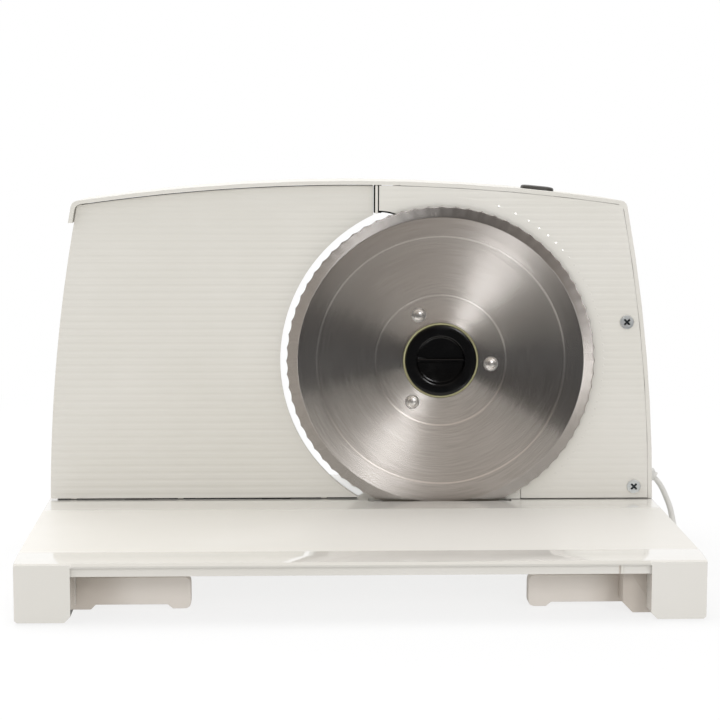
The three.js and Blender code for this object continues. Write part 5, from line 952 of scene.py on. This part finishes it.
# %% Finish
class Finish:
    """A material whose shader is fed by sums of sockets."""

    def __init__(self, name, **fixed):
        self.material = bpy.data.materials.new(name)
        self.material.use_nodes = True
        self.tree = self.material.node_tree
        self.shader = self.tree.nodes["Principled BSDF"]
        self.where = self.node("ShaderNodeTexCoord", out="Object")
        for socket, value in fixed.items():
            self.feed(socket.replace("_", " "), value)

    def node(self, kind, settings=(), inputs=(), out=0):
        """Any node, from its type, its settings and its inputs."""
        made = self.tree.nodes.new(kind)
        for key, value in dict(settings).items():
            setattr(made, key, value)
        for key, value in dict(inputs).items():
            self.put(made.inputs[key], value)
        return Socket(self, made.outputs[out])

    def put(self, socket, value):
        """Links a socket, or sets a plain value."""
        if isinstance(value, Socket):
            self.tree.links.new(value.out, socket)
        else:
            socket.default_value = value

    def feed(self, socket, value):
        """Feeds an input of the shader."""
        self.put(self.shader.inputs[socket], value)

    def surface(self, shader):
        """Makes a mixed shader the material's surface."""
        self.put(self.tree.nodes["Material Output"].inputs["Surface"], shader)

    def keep(self, slot):
        """Files the finished material under its slot."""
        finishes[slot] = self.material
        print(f"{slot}: {len(self.tree.nodes)} nodes")

    def noise(self, size, detail, where=None, rough=0.5):
        """Cloudy values 0-1 with features about size millimetres across."""
        return self.node("ShaderNodeTexNoise", {}, {
            "Vector": where or self.where, "Scale": 1 / (size * MM), "Detail": detail, "Roughness": rough,
        })

    def blend(self, share, first, second):
        """A colour between two colours."""
        inputs = {"Factor": share, 6: first, 7: second}
        return self.node("ShaderNodeMix", {"data_type": "RGBA"}, inputs, out=2)

    def bump(self, height, depth, strength):
        """Raises the surface by depth millimetres where height is 1."""
        self.feed("Normal", self.node("ShaderNodeBump", {}, {
            "Height": height, "Distance": depth * MM, "Strength": strength,
        }))

    def away(self, value, middle, half=0.0006):
        """0 on a thin line at the middle value, 1 outside it."""
        return ((value - middle) * (value - middle)).ramp(0.0, half * half)

    def vector(self, operation, *values, out=0):
        """A sum, product or direction of vectors."""
        return self.node("ShaderNodeVectorMath", {"operation": operation}, dict(enumerate(values)), out)


finishes = {}
print("finish tools:", [name for name in vars(Finish) if not name.startswith("_")])

# %% [markdown]
# ## White mouldings
# The case, panel and fence are satin white plastic. A moulded satin face is never one flat tone:
# there is a fine spark-eroded grain, slow drifts of colour from the melt, and handling marks that
# change only the gloss.

# %% Satin white
satin = Finish("satin_white_plastic", IOR=1.47)
drift = satin.noise(70, 3)
satin.feed("Base Color", satin.blend(drift.ramp(0.3, 0.7), srgb(216, 213, 205), srgb(220, 217, 210)))
handling = satin.noise(22, 4, rough=0.65)
satin.feed("Roughness", 0.36 + handling.ramp(0.45, 0.75) * 0.1)
satin.bump(satin.noise(0.45, 3), 0.012, 0.5)
satin.keep("satin_white")

# %% [markdown]
# The foot bars sit in the shade behind the feet, and their finish is the white plastic with that shade
# painted in: a little darker and browner, and more so close to the foot, which shades them. The share of
# painted shade rises along X, in random patches.

# %% White with painted shade
FOOT_SHADE_FROM, FOOT_SHADE_TO = 0.108 ** 2, 0.131 ** 2  # squares of X in metres
shade_painted = Finish("browned_white_plastic", IOR=1.47)
bar_x = shade_painted.node("ShaderNodeSeparateXYZ", {}, {0: shade_painted.where})
# painted shade: darker and browner towards the foot, in random patches
foot_shade = (bar_x * bar_x).ramp(FOOT_SHADE_FROM, FOOT_SHADE_TO) + (shade_painted.noise(14, 4) - 0.5) * 0.3
shade_painted.feed("Base Color", shade_painted.blend(foot_shade, srgb(219, 212, 204), srgb(194, 185, 175)))
shade_painted.feed("Roughness", 0.4 + shade_painted.noise(12, 4).ramp(0.4, 0.7) * 0.15)
shade_painted.bump(shade_painted.noise(0.45, 3), 0.012, 0.5)
shade_painted.keep("shade_painted_white")

# %% [markdown]
# The table is one glossy moulding. A strip along the cutting plane and one along the front edge
# are mirror-bright under a clear coat. The wide field between them is duller from use, with
# hair-fine scratches that run the way the food is pushed. The front face of the lip between the
# feet has painted shade: its colour is made darker there.

# %% Gloss white
FIELD_FRONT, FIELD_REAR = (-0.1005, -0.0995), (0.0045, 0.0065)  # along Y in metres
LIP_BACK, LIP_UNDER, LIP_END = (-0.1212, -0.1200), (0.0266, 0.0274), (0.1395 ** 2, 0.1405 ** 2)
gloss = Finish("gloss_white_plastic", IOR=1.52)
depth_along = gloss.node("ShaderNodeSeparateXYZ", {}, {0: gloss.where}, out="Y")
field = depth_along.ramp(*FIELD_FRONT) * (1 - depth_along.ramp(*FIELD_REAR))
drift = gloss.noise(90, 3)
tone = gloss.blend(drift.ramp(0.3, 0.7), srgb(221, 218, 211), srgb(225, 222, 216))
across_x = depth_along.output("X")
# painted shade on the front face of the lip between the feet
lip = (1 - depth_along.ramp(*LIP_BACK)) * depth_along.output("Z").ramp(*LIP_UNDER)
lip = lip * (1 - (across_x * across_x).ramp(*LIP_END))
gloss.feed("Base Color", gloss.blend(lip, tone, srgb(211, 208, 201)))
long_way = gloss.vector("MULTIPLY", gloss.where, (3.0, 0.05, 1.0))
scratches = gloss.noise(1.0, 3, long_way).ramp(0.62, 0.75)
wear = field * 0.36 + scratches * field * 0.08
gloss.feed("Roughness", 0.03 + wear + gloss.noise(30, 3).ramp(0.5, 0.8) * 0.02)
gloss.feed("Coat Weight", 1 - field)
gloss.bump(gloss.noise(38, 1) + scratches * -0.02, 0.05, 0.35)
gloss.keep("gloss_white")

# %% [markdown]
# ## Dark mouldings, flex and rubber
# These share one recipe: a base tone with a slow drift, a grain, and a gloss that varies with
# handling. Only the tones, the grain size and the gloss differ, so one function makes them all.

# %% Plain plastics
def moulded(slot, dark, light, gloss_level, grain, depth, ior=1.48):
    """Two close tones mixed by a slow drift, over a grain of a size and depth in millimetres."""
    made = Finish(slot + "_moulded", IOR=ior)
    made.feed("Base Color", made.blend(made.noise(25, 3).ramp(0.3, 0.7), srgb(*dark), srgb(*light)))
    made.feed("Roughness", gloss_level + made.noise(9, 4).ramp(0.45, 0.75) * 0.12)
    made.bump(made.noise(grain, 3), depth, 0.5)
    made.keep(slot)


moulded("grey_plastic", (62, 60, 57), (70, 68, 65), 0.38, 0.5, 0.015)
moulded("black_plastic", (7, 7, 8), (10, 10, 11), 0.15, 0.6, 0.003, 1.4)
moulded("white_flex", (212, 210, 205), (218, 217, 213), 0.36, 0.8, 0.01)
moulded("rubber", (38, 38, 38), (48, 47, 46), 0.72, 0.35, 0.03)
moulded("nylon", (172, 167, 124), (182, 177, 135), 0.4, 0.5, 0.01)

# %% [markdown]
# ## Metals
# Turned steel gets its look from grooves that run round the axle. Their flanks lean in and out, so
# every spot throws light to and fro across them, and bright fans appear towards the lamps. One
# gloss can't do that, so the blade mixes nine steels, each leaning a little more along the spoke.
# On the ground bevel the lines run the other way, so there the steels lean round the axle.

# %% Directions and lines on the blade
BEVEL_START, STEP_RADII = (0.0786, 0.0790), (0.0360, 0.0683)  # metres from the axle
steel = Finish("blade_steel", Metallic=1.0)
from_axle = steel.vector("SUBTRACT", steel.where, (BLADE_X * MM, 0, BLADE_Z * MM))
flat = steel.vector("MULTIPLY", from_axle, (1, 0, 1))
radius_m = steel.vector("LENGTH", flat, out="Value")
spoke = steel.vector("NORMALIZE", flat)
bevel = radius_m.ramp(*BEVEL_START)
lean_way = steel.node("ShaderNodeMix", {"data_type": "VECTOR"}, {
    "Factor": bevel, 4: spoke, 5: steel.vector("CROSS_PRODUCT", spoke, (0, 1, 0)),
}, out=1)
spoke_x = steel.node("ShaderNodeSeparateXYZ", {}, {0: spoke})
spoke_z = spoke_x.output("Z")


def brush_marks(outwards, around):
    """Noise over (radius, spoke) at two scales: a high one outwards gives rings, else spokes."""
    at = steel.node("ShaderNodeCombineXYZ", {}, {
        0: radius_m * outwards, 1: spoke_x * around, 2: spoke_z * around,
    })
    return steel.node("ShaderNodeTexNoise", {}, {"Vector": at, "Scale": 1.0, "Detail": 2.0})


lines = brush_marks(1800, 3) * (1 - bevel) + brush_marks(60, 300) * bevel
print("blade directions:", len(steel.tree.nodes), "nodes")

# %% [markdown]
# The nine steels share one colour and one gloss. Only the lean of the normal differs, and mixing
# them one after another with shares 1/2, 1/3, 1/4 and so on gives each the same weight.

# %% Nine leaning steels
facing = steel.node("ShaderNodeTexCoord", out="Normal")
stain = steel.noise(26, 4, rough=0.6)
# painted highlight: a thin lighter line in the colour at each of the two steps
steps = 1 - steel.away(radius_m, STEP_RADII[0]) * steel.away(radius_m, STEP_RADII[1])
tone = steel.blend(lines.ramp(0.3, 0.7), (0.555, 0.53, 0.51, 1), (0.645, 0.62, 0.60, 1))
tone = steel.blend(steps * 0.8, tone, (0.88, 0.85, 0.82, 1))
polish = 0.21 + lines * 0.04 + stain.ramp(0.5, 0.8) * 0.03


def leaning(lean):
    """Normal = facing + (lean + line) x lean way, turned from the piece's frame to the room's."""
    moved = steel.node("ShaderNodeVectorMath", {"operation": "SCALE"}, {
        0: lean_way, "Scale": lean + (lines - 0.5) * 0.1,
    })
    return steel.node("ShaderNodeVectorTransform", {
        "vector_type": "NORMAL", "convert_from": "OBJECT", "convert_to": "WORLD",
    }, {0: steel.vector("ADD", facing, moved)})


def coated(shader, lean):
    """Gives one of the nine its colour, gloss and lean."""
    inputs = {"Metallic": 1.0, "Base Color": tone, "Roughness": polish, "Normal": leaning(lean)}
    for socket, value in inputs.items():
        steel.put(shader.inputs[socket], value)
    return Socket(steel, shader.outputs[0])


LEANS = (0.0, -0.15, 0.15, -0.3, 0.3, -0.45, 0.45, -0.6, 0.6)
brushed = coated(steel.shader, LEANS[0])
for count, lean in enumerate(LEANS[1:], 2):
    another = coated(steel.tree.nodes.new("ShaderNodeBsdfPrincipled"), lean)
    brushed = steel.node("ShaderNodeMixShader", {}, {0: 1 / count, 1: brushed, 2: another})
steel.surface(brushed)
steel.keep("blade_steel")

# %% [markdown]
# The other metals share one recipe: two tones in patches, a gloss that varies, and fine marks
# stretched along one axis. The zinc of the screws has painted shade where the cross is deep.

# %% Other metals
def metal(slot, dark, light, rough, patch, marks, depth, mark_size, shade_in=""):
    """Two tones in patches under fine marks, with painted shade where the named attribute is high."""
    made = Finish(slot + "_metal", Metallic=1.0)
    tone = made.blend(made.noise(patch, 4).ramp(0.3, 0.7), dark + (1.0,), light + (1.0,))
    if shade_in:
        pocket_shade = made.node("ShaderNodeAttribute", {"attribute_name": shade_in}, out="Fac")
        # painted shade: the cross is darkened by its depth
        tone = made.blend(pocket_shade.ramp(0.1, 0.5), tone, (0.07, 0.085, 0.095, 1.0))
    made.feed("Base Color", tone)
    made.feed("Roughness", rough + made.noise(patch * 0.4, 3).ramp(0.4, 0.75) * 0.14)
    made.bump(made.noise(mark_size, 3, made.vector("MULTIPLY", made.where, marks)), depth, 0.6)
    made.keep(slot)


metal("rivet", (0.86, 0.84, 0.82), (0.95, 0.93, 0.91), 0.30, 2, (1, 1, 1), 0.25, 0.9)
metal("steel", (0.55, 0.53, 0.51), (0.62, 0.60, 0.58), 0.24, 6, (1, 0.1, 1), 0.01, 0.4)
metal("zinc", (0.86, 0.91, 0.94), (0.93, 0.96, 0.98), 0.58, 2.5, (1, 1, 1), 0.02, 0.6, shade_in="pocket")
metal("copper", (0.62, 0.32, 0.16), (0.72, 0.40, 0.22), 0.32, 5, (0.1, 1, 1), 0.03, 0.6)
metal("iron", (0.12, 0.115, 0.11), (0.17, 0.165, 0.16), 0.5, 8, (4, 0.2, 0.2), 0.05, 0.7)

# %% [markdown]
# Every piece, and every solid that still shows, now takes the finish of its slot. A few have one
# of their own: the blade, whose grooves are centred on its axle, its rivets, and the foot bars and
# gusset, whose white has painted shade.

# %% Dressing
OWN_FINISH = {
    "scalloped_blade": "blade_steel", "rivet_1": "rivet", "rivet_2": "rivet", "rivet_3": "rivet",
    "left_bar": "shade_painted_white", "right_bar": "shade_painted_white", "right_gusset": "shade_painted_white",
}
node_slot = {row["node"]: row["material_slot"] for row in frame["record"]["subparts"]}
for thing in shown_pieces():
    slot = node_slot.get(thing.name, thing.get("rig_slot"))
    thing.data.materials.clear()
    thing.data.materials.append(finishes[OWN_FINISH.get(thing.name, slot)])

# %% [markdown]
# ## Floor, light and background
# The picture has a plain white background. The floor glows white for the camera, more so away
# from the slicer, and keeps its soft shadow near it. In mirrors it is nearly dark, as a room's
# floor is, so that the blade has something to set its bright fans against.

# %% Floor
bpy.ops.mesh.primitive_grid_add(x_subdivisions=4, y_subdivisions=4, size=12)
floor = bpy.context.object
floor.name = "floor"
WHITE = (1, 1, 1, 1)
NEAR_GLOW, BOUNCE_GLOW, MIRROR_LOSS = 0.75, 0.7, 0.9
pale = Finish("pale_floor", Roughness=0.9)
pale.feed("Base Color", (0.85, 0.85, 0.85, 1))
far = pale.vector("LENGTH", pale.where, out="Value")
ray = pale.node("ShaderNodeLightPath", out="Is Camera Ray")
mirrored = ray.output("Is Glossy Ray")
glow = pale.node("ShaderNodeEmission", {}, {"Color": WHITE, "Strength": 1 - mirrored * MIRROR_LOSS})
straight = ray * (NEAR_GLOW + far.ramp(0.25, 0.7) * (1 - NEAR_GLOW))
share = straight + mirrored + ray.output("Is Diffuse Ray") * BOUNCE_GLOW
plain = Socket(pale, pale.shader.outputs[0])
pale.surface(pale.node("ShaderNodeMixShader", {}, {0: share, 1: plain, 2: glow}))
floor.data.materials.append(pale.material)
print("floor:", len(pale.tree.nodes), "nodes")

# %% [markdown]
# The world answers three questions differently. The camera sees white, dull surfaces get an even
# level, and mirrors see a room: dim and warm behind the viewer, brighter overhead, and white
# beyond the slicer.

# %% World
EVEN_LEVEL, ROOM_FLOOR, ROOM_RISE, ROOM_TINT = 0.57, 0.06, 0.5, (1, 0.87, 0.76, 1)
world = bpy.data.worlds.new("studio")
scene.world = world
world.use_nodes = True


class Sky(Finish):
    """The same node methods on a world's tree."""

    def __init__(self, world):
        self.tree = world.node_tree
        self.where = self.node("ShaderNodeTexCoord", out="Generated")


sky = Sky(world)
toward = sky.node("ShaderNodeSeparateXYZ", {}, {0: sky.where}, out="Y")
height = toward.output("Z")
ahead = toward.ramp(-0.1, 0.4)
room = ROOM_FLOOR + height.ramp(0.1, 0.75) * ROOM_RISE
mirror = room + (1 - room) * ahead
ray = sky.node("ShaderNodeLightPath", out="Is Camera Ray")
glossy = ray.output("Is Glossy Ray")
level = EVEN_LEVEL * (1 - glossy) + mirror * glossy
background = sky.tree.nodes["Background"]
sky.put(background.inputs["Color"], sky.blend((1 - ahead) * glossy, WHITE, ROOM_TINT))
sky.put(background.inputs["Strength"], level + (1 - level) * ray)
world.cycles.sampling_method = "NONE"  # so that a mirror meets only the level set for mirrors
print("world:", len(sky.tree.nodes), "nodes")

# %% [markdown]
# A small lamp high on the right makes the blade's fan of light, and it is the only one that shows
# in mirrors. Four large soft ones fill the shade from the left, the front, behind and above.

# %% Lamps
def lamp(name, at, aim_at, size, power, mirrored=True):
    """A square soft lamp that faces a point, and shows in mirrors or not."""
    data = bpy.data.lights.new(name, "AREA")
    data.shape, data.size, data.energy = "SQUARE", size, power
    made = bpy.data.objects.new(name, data)
    scene.collection.objects.link(made)
    back = np.asarray(at, float) - np.asarray(aim_at, float)
    back /= np.linalg.norm(back)
    right = np.cross([0, 0, 1], back)
    right /= np.linalg.norm(right)
    stand(made, np.column_stack([right, np.cross(back, right), back]), at)
    made.visible_glossy = mirrored


lamp("key", (0.76, -1.7, 0.82), (0.05, 0, 0.11), 0.45, 7)
lamp("fill", (-1.6, -0.9, 1.2), (0, 0, 0.1), 1.4, 8, mirrored=False)
lamp("front", (-0.3, -2.0, 0.45), (0, 0, 0.1), 1.2, 4, mirrored=False)
lamp("back", (-0.5, 1.6, 1.0), (0, 0.05, 0.08), 1.2, 10, mirrored=False)
lamp("top", (-0.1, 0.3, 1.9), (0, 0.0, 0.1), 1.6, 21, mirrored=False)

# %% [markdown]
# ## Sizes
# Every new surface stays inside the solids' outer size.
